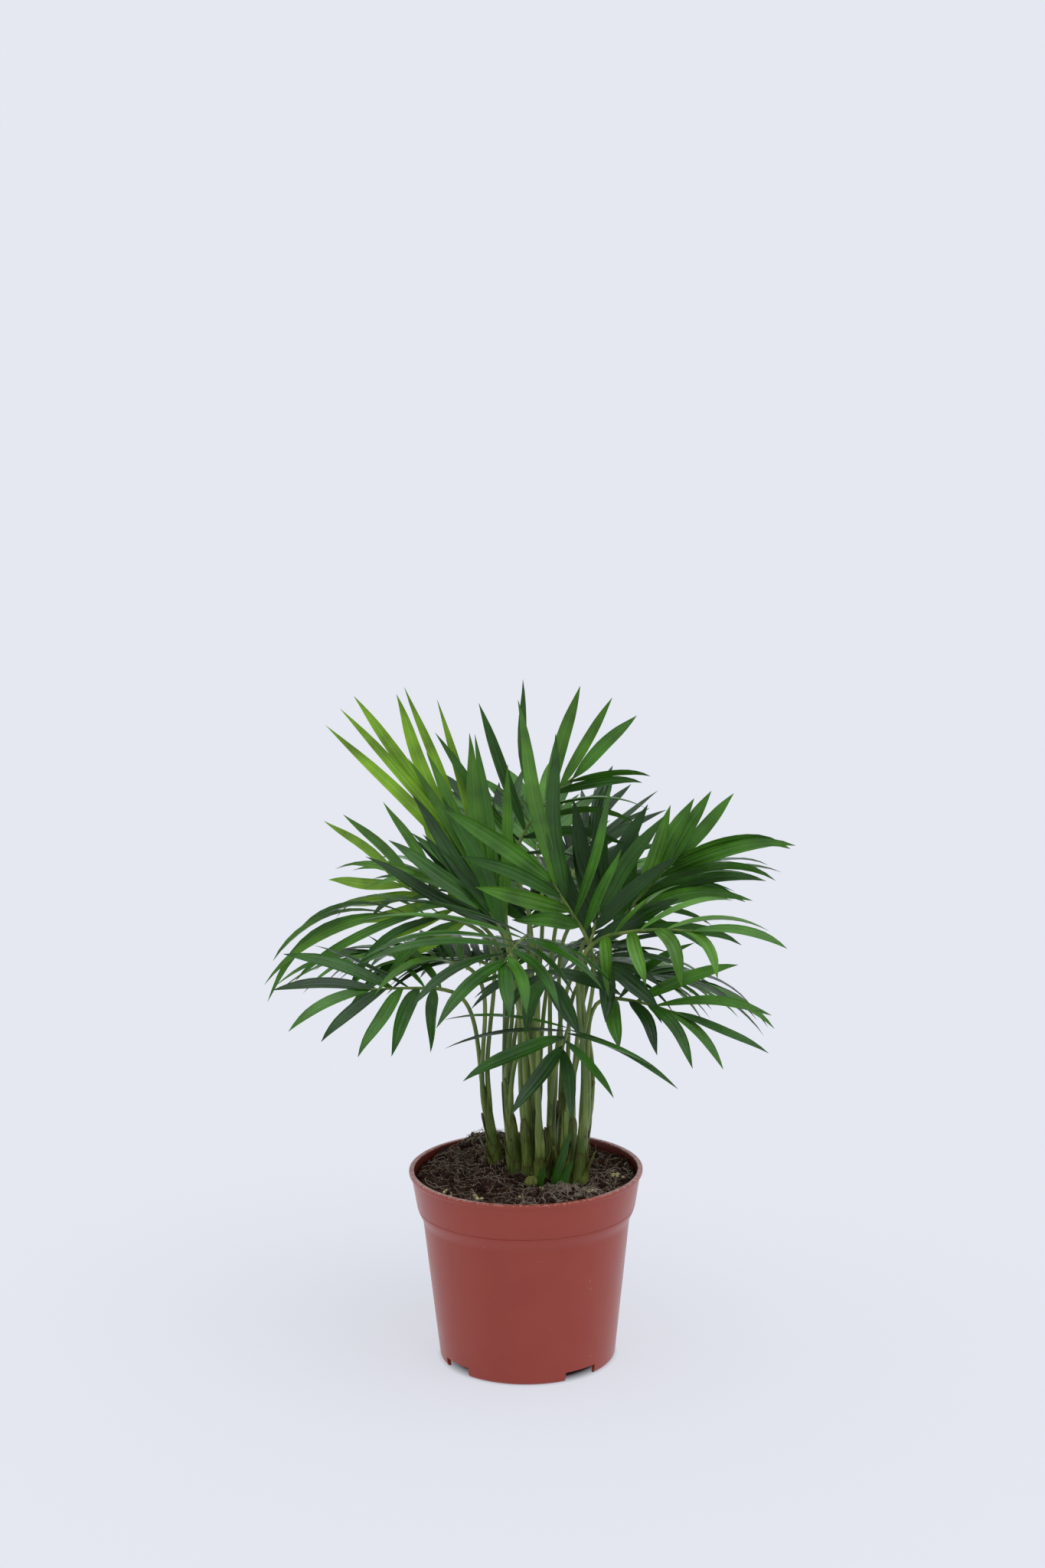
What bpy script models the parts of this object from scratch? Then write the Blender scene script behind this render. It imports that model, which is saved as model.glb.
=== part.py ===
"""Parlour palm in a nursery pot.

A clump of sheathed canes stands in a filled 12 cm plastic pot. Each cane carries one to three fronds.
A frond is one solid: a slim stalk that runs on as the rib of the blade, with narrow leaflets fused to it.
Lengths below are in millimetres and angles in degrees. The origin is under the middle of the pot.
"""
import math
import random
from typing import NamedTuple

import bmesh
import bpy
from mathutils import Matrix, Vector
from mathutils.bvhtree import BVHTree

MM = 0.001
GAP = 0.3              # air between neighbours that touch on the real plant
MERGE = 0.00002        # metres, for modifiers that merge points

# Pot: thin moulded plastic, a deep collar under the rim and a plain taper below it
POT_HEIGHT = 100.0
RIM_RADIUS = 60.0
LIP_HEIGHT = 1.8
COLLAR_TOP_RADIUS = 58.8
COLLAR_FOOT_RADIUS = 55.9
COLLAR_HEIGHT = 20.5
SHOULDER_HEIGHT = 5.0
BODY_TOP_RADIUS = 53.2
FOOT_RADIUS = 45.2
WALL = 1.3
FLOOR_RISE = 6.0       # the floor is held up by the foot ring
FLOOR_THICK = 1.4
BOSS_RADIUS = 10.0     # round foot under the middle of the floor
BOSS_DRAFT = 0.8
RIM_EDGE = 0.5         # bevel round the top of the rim
LIP_UNDERCUT = 0.8
COLLAR_EDGE = 0.7      # bevel at the collar's lower edge
FOOT_DRAFT = 0.9
POT_STEPS = 40
NOTCH_COUNT = 4
NOTCH_FIRST = 36.5     # from the front towards the right
NOTCH_WIDTH = 18.5
NOTCH_HEIGHT = 5.0
NOTCH_REACH = 16.0     # length of the block that cuts a notch, across the wall

# Compost: fills the pot to just under the rim, mounded at the back left
SOIL_TOP = 95.5
SOIL_RINGS = 5
SOIL_STEPS = 24
SOIL_MOUND = 7.5
MOUND_BEARING = 115.0
MOUND_REACH = 45.0
MOUND_SPREAD = 23.0
SOIL_SLACK = 0.18      # the pot's flat facets lie that much inside its round
LUMP_HEIGHT = 0.72
FOOT_DEPTH = 7.0       # how far a cane goes down into the compost

# Canes, stalks and leaflets
STEM_TAPER = ((0.0, 1.0), (0.45, 0.97), (1.0, 0.85))
STALK_BASE = 1.25
STALK_HUB = 1.0
STALK_TIP = 0.6
STALK_APART = 1.75     # from the middle of a cane to each of the stalks that it carries
RACHIS_STEPS = 5
PETIOLE_STEPS = 6
LEAF_ROOT_WIDTH = 1.5
LEAF_THICK = 0.95
LEAF_SLIMMEST = 95.0   # a leaflet is at least this part of its length thick
LEAF_WIDTHS = (0.0, 0.8, 1.0, 0.66)    # at even steps from the root, before the pointed tip
LOAD_COST = 14.0       # how much further off a cane seems for each frond that it carries
CLEAR = 0.45           # kept free round a leaflet or stalk of another frond

# What a stalk or leaflet that meets a neighbour tries, in this order, before it is left out
HUB_SHIFTS = ((0, 0, 0), (0, 0, 3), (0, 0, -3), (3, 0, 0), (-3, 0, 0), (0, 3, 0), (0, -3, 0), (3, 3, 4),
              (-3, -3, -4))
HANDLE_WAYS = ((1, 0), (-1, 0), (0, 1), (0, -1), (0.8, 0.8), (-0.8, -0.8))
HANDLE_REACHES = (5, 9)
LEAF_WAYS = ((1, 0), (-1, 0), (0, 1), (0, -1), (1, 1))     # up and aside
LEAF_REACHES = (5, 10, 16, 23)                             # degrees
LEAF_CUTS = (1.0, 0.8, 0.62)

COLOURS = {
    "pot": (0.33, 0.075, 0.055, 0.42),
    "soil": (0.030, 0.019, 0.013, 0.95),
    "stem": (0.165, 0.205, 0.085, 0.55),
    "mature": (0.035, 0.125, 0.028, 0.45),
    "young": (0.135, 0.300, 0.035, 0.45),
}


class Stem(NamedTuple):
    """A cane in its sheaths, from the compost up to where its leaf stalks part."""
    name: str
    foot: tuple        # x, y at the compost
    top: tuple         # x, y, z
    radius: float


class Frond(NamedTuple):
    """One leaf of the palm. Bearings run from +X (0) over the back, +Y (90), to the left, -X (180).

    A pair of values is for the hub and the tip of the rib, or for the leaflets left and right of it.
    """
    name: str
    stem: int
    hub: tuple              # x, y, z of the lowest leaflets
    heading: float          # bearing of the rib at the hub
    rise: float             # its climb there
    rib: float              # length that carries leaflets
    sag: float              # how far the rib turns down along its length
    pairs: int
    leaf: tuple             # leaflet length, hub and tip
    width: float
    spread: tuple           # angle between rib and leaflet, hub and tip
    face: tuple             # bearing and climb of the way the upper side looks
    cup: tuple = (5, 5)     # how far the leaflets are lifted out of the blade's plane, left and right
    hang: tuple = (8, 8)    # how far a leaflet turns down to its tip, left and right
    share: tuple = (1, 1)   # leaflet length, left and right
    turn: tuple = (0, 0)    # how far a leaflet is turned about its own line, left and right
    lean: float = 0         # added to the spread on the left, taken off on the right
    tone: str = "mature"


STEMS = (
    Stem("stem_01", (-15, 17), (-20, 16, 128), 3.6),
    Stem("stem_02", (-5, 8), (-9, 8, 130), 4.2),
    Stem("stem_03", (2, 1), (0, 0, 127), 3.7),
    Stem("stem_04", (8, -9), (7, -10, 126), 3.5),
    Stem("stem_05", (13.5, -2.5), (13, -3, 131), 3.4),
    Stem("stem_06", (19, -10), (20, -12, 119), 3.6),
    Stem("stem_07", (27, -10), (30, -11, 128), 3.9),
    Stem("stem_08", (4, 12), (3, 13, 134), 3.6),
    Stem("stem_09", (13, 8), (14, 9, 135), 3.7),
    Stem("stem_10", (22, 2), (24, 3, 130), 3.6),
    Stem("stem_11", (-6, 22), (-9, 25, 127), 3.5),
    Stem("stem_12", (6, 24), (6, 28, 131), 3.6),
    Stem("stem_13", (17, 20), (20, 24, 129), 3.5),
    Stem("stem_14", (28, 12), (33, 14, 126), 3.5),
)

# The fronds that face the front, as the plant grew them
SHOWN = (
    Frond("frond_a", stem=2, hub=(-16, 3, 243), heading=160, rise=56, rib=50, sag=0, pairs=3, leaf=(104, 66),
          width=7.2, spread=(17, 6), lean=-3, face=(-84, 15), cup=(20, 20), share=(1.06, 0.96), tone="young"),
    Frond("frond_b", stem=10, hub=(-24, 20, 225), heading=142, rise=16, rib=50, sag=4, pairs=5,
          leaf=(50, 64), width=7, spread=(62, 10), face=(-90, 8), cup=(18, 22), hang=(10, 10),
          share=(0.75, 1), tone="young"),
    Frond("frond_c", stem=7, hub=(-4, 12, 262), heading=20, rise=68, rib=50, sag=38, pairs=6, leaf=(72, 48),
          width=7.5, spread=(60, 12), face=(-98, 12), cup=(22, 22), hang=(5, 44), share=(1, 0.82),
          turn=(0, 60)),
    Frond("frond_d", stem=5, hub=(30, -20, 229), heading=215, rise=56, rib=34, sag=0, pairs=4, leaf=(50, 106),
          width=9.5, spread=(46, 16), face=(-90, 20), cup=(18, 14), share=(0.72, 1)),
    Frond("frond_e", stem=9, hub=(45, 5, 222), heading=18, rise=52, rib=50, sag=14, pairs=6, leaf=(56, 54),
          width=9.5, spread=(38, 10), face=(-90, 20), cup=(24, 24), hang=(8, 46), share=(0.8, 1.2),
          turn=(0, 40)),
    Frond("frond_f", stem=6, hub=(40, -32, 229), heading=-31, rise=20, rib=50, sag=20, pairs=4, leaf=(46, 46),
          width=8.5, spread=(64, 16), face=(-80, 62), hang=(34, 78), share=(1, 0.75), tone="young"),
    Frond("frond_g", stem=6, hub=(44, -18, 194), heading=-29, rise=3, rib=34, sag=16, pairs=4, leaf=(42, 56),
          width=8, spread=(60, 8), face=(-90, 60), cup=(30, 5), hang=(24, 50), share=(1, 0.8)),
    Frond("frond_h", stem=4, hub=(22, -30, 182), heading=-97, rise=10, rib=28, sag=34, pairs=4, leaf=(66, 54),
          width=9, spread=(84, 12), face=(-90, 48), hang=(16, 26), share=(0.9, 1)),
    Frond("frond_i", stem=3, hub=(2, -28, 229), heading=-106, rise=6, rib=42, sag=22, pairs=6, leaf=(88, 64),
          width=9.5, spread=(84, 16), face=(-90, 65), cup=(4, 14), hang=(36, 32), share=(0.62, 0.96)),
    Frond("frond_j", stem=0, hub=(-29, 12, 226), heading=166, rise=12, rib=46, sag=16, pairs=5, leaf=(56, 80),
          width=6, spread=(50, 10), face=(-90, 65), hang=(58, 58), turn=(50, 40)),
    Frond("frond_k", stem=0, hub=(-42, -8, 197), heading=203, rise=10, rib=38, sag=8, pairs=5, leaf=(44, 54),
          width=9, spread=(78, 10), face=(-90, 60), cup=(0, 4), hang=(44, 16), share=(0.9, 1)),
    Frond("frond_l", stem=6, hub=(36, -14, 220), heading=30, rise=72, rib=28, sag=0, pairs=4, leaf=(54, 52),
          width=10.5, spread=(40, 8), face=(-100, 12), cup=(20, 20)),
    Frond("frond_m", stem=3, hub=(-10, -4, 230), heading=160, rise=72, rib=20, sag=0, pairs=3, leaf=(82, 74),
          width=8, spread=(16, 5), face=(-90, 12), tone="young"),
    Frond("frond_n", stem=2, hub=(-9, -20, 228), heading=160, rise=52, rib=14, sag=0, pairs=2, leaf=(78, 60),
          width=9.5, spread=(20, 8), lean=6, face=(-90, 30), hang=(10, 14)),
    Frond("frond_o", stem=1, hub=(6, -14, 208), heading=-80, rise=24, rib=20, sag=50, pairs=3, leaf=(46, 38),
          width=9, spread=(84, 20), face=(-90, 60), hang=(34, 30)),
    Frond("frond_p", stem=8, hub=(32, -6, 212), heading=-60, rise=24, rib=20, sag=50, pairs=3, leaf=(48, 38),
          width=9, spread=(84, 20), face=(-90, 60), hang=(34, 30)),
)

# The fronds behind, which fill the crown on the sides that the front hides, in three storeys.
# Each: bearings, hub distance, hub height, rise, rib, pairs, leaflet length, hang
BEHIND = (
    ((8, 42, 76, 110, 142, 172), 38, 198, 6, 40, 5, 62, 46),
    ((24, 62, 98, 132), 34, 222, 28, 42, 5, 60, 34),
    ((50, 86, 122), 20, 244, 50, 38, 5, 50, 16),
)
CLUMP_CENTRE = (8, 6)


def unit(bearing, climb):
    """The direction with this bearing and climb."""
    flat = math.cos(math.radians(climb))
    return Vector((flat * math.cos(math.radians(bearing)), flat * math.sin(math.radians(bearing)),
                   math.sin(math.radians(climb))))


def square_to(vector, axis):
    """What is left of the vector across the axis, at length one."""
    return (vector - vector.dot(axis) * axis).normalized()


def petiole_path(start, lift, hub, arrival, bend):
    """A stalk from the cane to the hub: it leaves along the cane and arrives along the rib."""
    reach = (hub - start).length
    aside = Vector((*bend, 0))
    handles = (start, start + lift * reach * 0.42 + aside * 0.4, hub - arrival * reach * 0.3 + aside, hub)
    path = []
    for step in range(PETIOLE_STEPS):
        t = step / PETIOLE_STEPS
        weights = ((1 - t) ** 3, 3 * t * (1 - t) ** 2, 3 * t * t * (1 - t), t ** 3)
        path.append(sum((w * h for w, h in zip(weights, handles)), Vector()))
    return path


def rachis_path(frond):
    """Points along the rib with its direction at each, from the hub to the tip."""
    here = Vector(frond.hub)
    path = []
    for step in range(RACHIS_STEPS + 1):
        path.append((here.copy(), unit(frond.heading, frond.rise - frond.sag * step / RACHIS_STEPS)))
        onward = unit(frond.heading, frond.rise - frond.sag * (step + 0.5) / RACHIS_STEPS)
        here = here + onward * frond.rib / RACHIS_STEPS
    return path


def leaf_line(root, aim, hang, length, steps):
    """Points and directions along a leaflet that leaves along aim and bends down under its weight."""
    here = root.copy()
    pull = math.tan(math.radians(min(hang, 80.0)))
    line = [(here.copy(), aim.copy())]
    for step in range(steps):
        t = (step + 0.5) / steps
        along = (aim + Vector((0, 0, -pull)) * t ** 1.6).normalized()
        here = here + along * length / steps
        line.append((here.copy(), along))
    return line


def between(pair, t):
    """A value that runs from the hub's to the tip's."""
    return pair[0] + (pair[1] - pair[0]) * t


def leaf_plan(frond):
    """Root, aim, blade normal, length, hang and width of each leaflet, from the hub to the tip."""
    chance = random.Random(frond.name)
    rib = rachis_path(frond)
    look = unit(*frond.face)
    plan = []
    for pair in range(frond.pairs):
        for side in (0, 1):
            t = min(1.0, (pair + (0.0 if side else 0.4)) / max(frond.pairs - 0.6, 1.0))
            place = t * RACHIS_STEPS
            low = min(int(place), RACHIS_STEPS - 1)
            root = rib[low][0].lerp(rib[low + 1][0], place - low)
            along = rib[low][1].lerp(rib[low + 1][1], place - low).normalized()
            normal = square_to(look, along)
            out = along.cross(normal) * (1 if side else -1)
            angle = between(frond.spread, t) + (-frond.lean if side else frond.lean)
            angle = math.radians(angle + chance.uniform(-4, 4))
            cup = math.radians(frond.cup[side] + chance.uniform(-4, 4))
            aim = math.cos(angle) * along + math.sin(angle) * (math.cos(cup) * out + math.sin(cup) * normal)
            aim.normalize()
            length = between(frond.leaf, t) * (1 + 0.12 * math.sin(math.pi * t)) * frond.share[side]
            length *= chance.uniform(0.94, 1.05)
            hang = frond.hang[side] * chance.uniform(0.8, 1.15)
            width = frond.width * chance.uniform(0.9, 1.08)
            twist = math.radians(frond.turn[side] * (1 if side else -1) + chance.uniform(-18, 18))
            face = Matrix.Rotation(twist, 3, aim) @ square_to(normal, aim)
            plan.append((root, aim, face, length, hang, width))
    return plan


def nearest_stem(point, load):
    """The least laden cane that stands near the point."""
    def cost(index):
        top = Vector(STEMS[index].top)
        return (top.xy - point.xy).length + LOAD_COST * load[index]
    return min(range(len(STEMS)), key=cost)


def all_fronds():
    """The shown fronds and, storey by storey, the ones behind them."""
    fronds = list(SHOWN)
    load = [sum(frond.stem == index for frond in fronds) for index in range(len(STEMS))]
    for storey, (bearings, away, height, rise, rib, pairs, leaf, hang) in enumerate(BEHIND):
        for number, bearing in enumerate(bearings):
            chance = random.Random(f"storey {storey} frond {number}")
            hub = Vector((*CLUMP_CENTRE, 0)) + unit(bearing, 0) * away * chance.uniform(0.85, 1.1)
            hub.z = height + chance.uniform(-7, 7)
            stem = nearest_stem(hub, load)
            load[stem] += 1
            heading = bearing + chance.uniform(-12, 12)
            climb = rise + chance.uniform(-6, 6)
            fronds.append(Frond(
                f"frond_back_{storey + 1}{number + 1}", stem, tuple(hub), heading, climb, rib, 14, pairs,
                (leaf * 0.92, leaf), 8.0, (64, 12), (heading, 90 - climb), cup=(12, 12), hang=(hang, hang)))
    return fronds


def material(kind):
    """The Principled material of a kind of sub-part."""
    name = f"palm {kind}"
    if name in bpy.data.materials:
        return bpy.data.materials[name]
    made = bpy.data.materials.new(name)
    made.use_nodes = True
    shader = made.node_tree.nodes["Principled BSDF"]
    red, green, blue, rough = COLOURS[kind]
    shader.inputs["Base Color"].default_value = (red, green, blue, 1)
    shader.inputs["Roughness"].default_value = rough
    made.diffuse_color = (red, green, blue, 1)
    return made


def add_object(name, mesh, collection, kind=None):
    """An object for the mesh, in the collection, with its kind's material."""
    made = bpy.data.objects.new(name, mesh)
    collection.objects.link(made)
    if kind:
        mesh.materials.clear()
        mesh.materials.append(material(kind))
    return made


def add_cutter(name, mesh, cutters):
    """A helper object, drawn as wire and left out of pictures, to be cut out of a part or joined to one."""
    made = add_object(name, mesh, cutters)
    made.hide_render = True
    made.display_type = "WIRE"


def settle(thing):
    """Applies the modifiers of a mesh object."""
    graph = bpy.context.evaluated_depsgraph_get()
    graph.update()
    mesh = bpy.data.meshes.new_from_object(thing.evaluated_get(graph))
    thing.modifiers.clear()
    thing.data = mesh
    mesh.name = thing.name
    return thing


def empty_out(collection):
    """Removes the objects of a collection."""
    for thing in list(collection.objects):
        bpy.data.objects.remove(thing)


def tube_mesh(name, points, radii, level):
    """A closed round tube along the points (millimetres), as a curve with a bevel turned into a mesh."""
    curve = bpy.data.curves.new(name, "CURVE")
    curve.dimensions = "3D"
    curve.bevel_depth = MM
    curve.bevel_resolution = level
    curve.use_fill_caps = True
    spline = curve.splines.new("POLY")
    spline.points.add(len(points) - 1)
    for knot, point, radius in zip(spline.points, points, radii):
        knot.co = (*(point * MM), 1)
        knot.radius = radius
    thing = bpy.data.objects.new(name, curve)
    bpy.context.scene.collection.objects.link(thing)
    graph = bpy.context.evaluated_depsgraph_get()
    mesh = bpy.data.meshes.new_from_object(thing.evaluated_get(graph))
    bpy.data.objects.remove(thing)
    bpy.data.curves.remove(curve)
    build = bmesh.new()
    build.from_mesh(mesh)
    bmesh.ops.remove_doubles(build, verts=build.verts, dist=MERGE)
    bmesh.ops.recalc_face_normals(build, faces=build.faces)
    build.to_mesh(mesh)
    build.free()
    return mesh


def leaf_mesh(name, root, aim, face, length, hang, width, grow=0.0):
    """A leaflet: three-sided sections, flat above and keeled below, lofted from its root to a point."""
    line = leaf_line(root, aim, hang, length, len(LEAF_WIDTHS))
    thick = max(LEAF_THICK, length / LEAF_SLIMMEST)
    build = bmesh.new()
    last = None
    for share, (point, along) in zip(LEAF_WIDTHS, line):
        up = square_to(face, along)
        half = along.cross(up) * (max(width * share, LEAF_ROOT_WIDTH) / 2 + grow)
        ring = [build.verts.new((point + offset) * MM)
                for offset in (half + up * grow, -half + up * grow, -up * (thick + grow))]
        if last:
            for side in range(3):
                build.faces.new((last[side], last[side - 1], ring[side - 1], ring[side]))
        else:
            build.faces.new(ring)
        last = ring
    tip = build.verts.new((line[-1][0] + line[-1][1] * grow) * MM)
    for side in range(3):
        build.faces.new((last[side], last[side - 1], tip))
    bmesh.ops.recalc_face_normals(build, faces=build.faces)
    mesh = bpy.data.meshes.new(name)
    build.to_mesh(mesh)
    build.free()
    return mesh


class Taken:
    """The space that the limbs and leaflets built so far hold, each with its owner."""

    def __init__(self):
        self.bodies = []

    @staticmethod
    def shape(mesh):
        """Lowest and highest corner of the mesh, and its faces as a tree."""
        points = [vertex.co.copy() for vertex in mesh.vertices]
        low = [min(point[axis] for point in points) for axis in range(3)]
        high = [max(point[axis] for point in points) for axis in range(3)]
        return low, high, BVHTree.FromPolygons(points, [tuple(face.vertices) for face in mesh.polygons])

    def add(self, owner, mesh):
        self.bodies.append((owner, *self.shape(mesh)))

    def free(self, owner, mesh):
        """True where the mesh meets no body of another owner."""
        low, high, tree = self.shape(mesh)
        bpy.data.meshes.remove(mesh)
        for other, other_low, other_high, other_tree in self.bodies:
            apart = any(high[axis] < other_low[axis] or other_high[axis] < low[axis] for axis in range(3))
            if other != owner and not apart and tree.overlap(other_tree):
                return False
        return True


def tries(ways, reaches):
    """No change at first, then each reach in every way."""
    return [(0, 0)] + [(way[0] * reach, way[1] * reach) for reach in reaches for way in ways]


def pot_wall(height):
    """Outer radius of the pot at a height on its body."""
    body_top = POT_HEIGHT - COLLAR_HEIGHT - SHOULDER_HEIGHT
    return FOOT_RADIUS + (BODY_TOP_RADIUS - FOOT_RADIUS) * min(height, body_top) / body_top


def turned(name, profile, steps, collection, kind):
    """A mesh object turned round Z from a profile of radius and height, in millimetres."""
    mesh = bpy.data.meshes.new(name)
    mesh.from_pydata([(radius * MM, 0, height * MM) for radius, height in profile],
                     [(index, index + 1) for index in range(len(profile) - 1)], [])
    thing = add_object(name, mesh, collection)
    screw = thing.modifiers.new("turn", "SCREW")
    screw.steps = steps
    screw.render_steps = steps
    screw.use_merge_vertices = True
    screw.merge_threshold = MERGE
    settle(thing)
    thing.data.materials.append(material(kind))
    return thing


def subtract(thing, cutters):
    """Cuts every object of the cutters' collection out of the thing, and removes them."""
    cut = thing.modifiers.new("cut", "BOOLEAN")
    cut.operation = "DIFFERENCE"
    cut.operand_type = "COLLECTION"
    cut.collection = cutters
    settle(thing)
    empty_out(cutters)


def make_pot(parts, cutters):
    """Rim, collar, shoulder and tapered wall, a foot ring with four notches, and a boss under the floor."""
    shoulder = POT_HEIGHT - COLLAR_HEIGHT
    body_top = shoulder - SHOULDER_HEIGHT
    floor = FLOOR_RISE + FLOOR_THICK
    lip_foot = POT_HEIGHT - LIP_HEIGHT
    profile = (
        (0, floor), (pot_wall(floor) - WALL, floor), (BODY_TOP_RADIUS - WALL, body_top),
        (COLLAR_FOOT_RADIUS - WALL, shoulder), (COLLAR_TOP_RADIUS - WALL, POT_HEIGHT),
        (RIM_RADIUS - RIM_EDGE, POT_HEIGHT), (RIM_RADIUS, POT_HEIGHT - RIM_EDGE), (RIM_RADIUS, lip_foot),
        (COLLAR_TOP_RADIUS, lip_foot - LIP_UNDERCUT), (COLLAR_FOOT_RADIUS, shoulder + COLLAR_EDGE),
        (COLLAR_FOOT_RADIUS - COLLAR_EDGE, shoulder), (BODY_TOP_RADIUS, body_top), (pot_wall(WALL), WALL),
        (FOOT_RADIUS - FOOT_DRAFT, 0), (FOOT_RADIUS - FOOT_DRAFT - WALL, 0), (FOOT_RADIUS - WALL, FLOOR_RISE),
        (BOSS_RADIUS, FLOOR_RISE), (BOSS_RADIUS - BOSS_DRAFT, 0), (0, 0),
    )
    pot = turned("pot", profile, POT_STEPS, parts, "pot")
    for number in range(NOTCH_COUNT):
        bearing = NOTCH_FIRST + 360 / NOTCH_COUNT * number - 90
        bpy.ops.mesh.primitive_cube_add(size=1)
        cutter = bpy.context.object
        cutter.name = f"notch_cutter_{number + 1}"
        cutter.scale = (NOTCH_REACH * MM, NOTCH_WIDTH * MM, 2 * NOTCH_HEIGHT * MM)
        cutter.location = unit(bearing, 0) * FOOT_RADIUS * MM
        cutter.rotation_euler.z = math.radians(bearing)
        cutter.hide_render = True
        cutter.display_type = "WIRE"
        cutter.users_collection[0].objects.unlink(cutter)
        cutters.objects.link(cutter)
    subtract(pot, cutters)
    pot.data.shade_smooth()
    pot.data.set_sharp_from_angle(angle=math.radians(25))


def soil_height(x, y):
    """Top of the compost: low lumps, and the mound at the back left."""
    crest = unit(MOUND_BEARING, 0) * MOUND_REACH
    mound = SOIL_MOUND * math.exp(-((x - crest.x) ** 2 + (y - crest.y) ** 2) / MOUND_SPREAD ** 2)
    lumps = math.sin(x * 0.31 + 1.0) * math.cos(y * 0.27) + 0.5 * math.sin(x * 0.7 - y * 0.6)
    return SOIL_TOP + mound + LUMP_HEIGHT * lumps


def stem_line(stem, start_depth):
    """Three points up the middle of a cane, and its direction."""
    foot = Vector((*stem.foot, SOIL_TOP))
    top = Vector(stem.top)
    lift = (top - foot).normalized()
    start = foot - lift * start_depth
    return [start.lerp(top, t) for t, _ in STEM_TAPER], lift


def make_soil(parts, cutters):
    """The filling of the pot, with a socket for each cane."""
    floor = FLOOR_RISE + FLOOR_THICK + GAP
    shoulder = POT_HEIGHT - COLLAR_HEIGHT
    inset = WALL + GAP
    flare = (COLLAR_TOP_RADIUS - COLLAR_FOOT_RADIUS) * (SOIL_TOP - shoulder) / COLLAR_HEIGHT
    edge = COLLAR_FOOT_RADIUS - inset + flare - SOIL_SLACK
    profile = [(edge * ring / SOIL_RINGS, SOIL_TOP) for ring in range(SOIL_RINGS + 1)]
    profile += [(COLLAR_FOOT_RADIUS - inset - SOIL_SLACK, shoulder),
                (BODY_TOP_RADIUS - inset - SOIL_SLACK, shoulder - SHOULDER_HEIGHT),
                (pot_wall(floor) - inset - SOIL_SLACK, floor), (0, floor)]
    soil = turned("soil", profile, SOIL_STEPS, parts, "soil")
    for vertex in soil.data.vertices:
        if vertex.co.z > (SOIL_TOP - 0.01) * MM:
            vertex.co.z = soil_height(vertex.co.x / MM, vertex.co.y / MM) * MM
    for stem in STEMS:
        line, lift = stem_line(stem, FOOT_DEPTH + GAP)
        radii = [stem.radius * share + GAP for _, share in STEM_TAPER]
        add_cutter(f"{stem.name}_socket", tube_mesh("socket", line, radii, 1), cutters)
    subtract(soil, cutters)


def make_stems(parts, taken):
    """The canes, each a tapered tube from its socket to a flat top."""
    for stem in STEMS:
        line, _ = stem_line(stem, FOOT_DEPTH)
        radii = [stem.radius * share for _, share in STEM_TAPER]
        thing = add_object(stem.name, tube_mesh(stem.name, line, radii, 1), parts, "stem")
        thing.data.shade_smooth()
        thing.data.set_sharp_from_angle(angle=math.radians(50))
        taken.add(stem.name, thing.data)


def stalk_starts(fronds):
    """Where each stalk leaves the top of its cane, and the cane's direction."""
    starts = {}
    for index, stem in enumerate(STEMS):
        carried = [frond for frond in fronds if frond.stem == index]
        top = Vector(stem.top)
        _, lift = stem_line(stem, 0)
        for place, frond in enumerate(carried):
            away = square_to(Vector(carried[0].hub) - top, lift)
            away.rotate(Matrix.Rotation(2 * math.pi * place / len(carried), 3, lift))
            offset = away * STALK_APART if len(carried) > 1 else Vector()
            starts[frond.name] = (top + offset + lift * GAP, lift)
    return starts


def stalk_radii(petiole, rib, grow=0.0):
    """Radius at each point of a stalk, from the cane to the hub and on to the rib's tip."""
    radii = [STALK_BASE + (STALK_HUB - STALK_BASE) * step / petiole for step in range(petiole)]
    radii += [STALK_HUB + (STALK_TIP - STALK_HUB) * step / (rib - 1) for step in range(rib)]
    return [radius + grow for radius in radii]


def place_stalk(frond, start, lift, taken):
    """The frond with its hub where its stalk runs clear, and the stalk's points."""
    for shift in HUB_SHIFTS:
        moved = frond._replace(hub=tuple(Vector(frond.hub) + Vector(shift)))
        rib = [point for point, _ in rachis_path(moved)]
        arrival = unit(moved.heading, moved.rise)
        for bend in tries(HANDLE_WAYS, HANDLE_REACHES):
            petiole = petiole_path(start, lift, rib[0], arrival, bend)
            points = petiole + rib
            radii = stalk_radii(len(petiole), len(rib), CLEAR)
            if taken.free(f"stem_{frond.stem + 1:02d}", tube_mesh("test", points, radii, 0)):
                return moved, points
    return None, None


def place_leaflets(frond, taken):
    """The leaflets of a frond, each as the arguments of its mesh, swung or shortened to keep clear."""
    leaflets = []
    for root, aim, face, length, hang, width in leaf_plan(frond):
        across = aim.cross(face)
        for cut in LEAF_CUTS:
            for up, aside in tries(LEAF_WAYS, LEAF_REACHES):
                turn = Matrix.Rotation(math.radians(up), 3, across)
                turn = turn @ Matrix.Rotation(math.radians(aside), 3, face)
                leaflet = (root, turn @ aim, turn @ face, length * cut, hang, width)
                if taken.free(frond.name, leaf_mesh("test", *leaflet, grow=CLEAR)):
                    break
            else:
                continue
            leaflets.append(leaflet)
            mesh = leaf_mesh("taken", *leaflet)
            taken.add(frond.name, mesh)
            bpy.data.meshes.remove(mesh)
            break
    return leaflets


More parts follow.
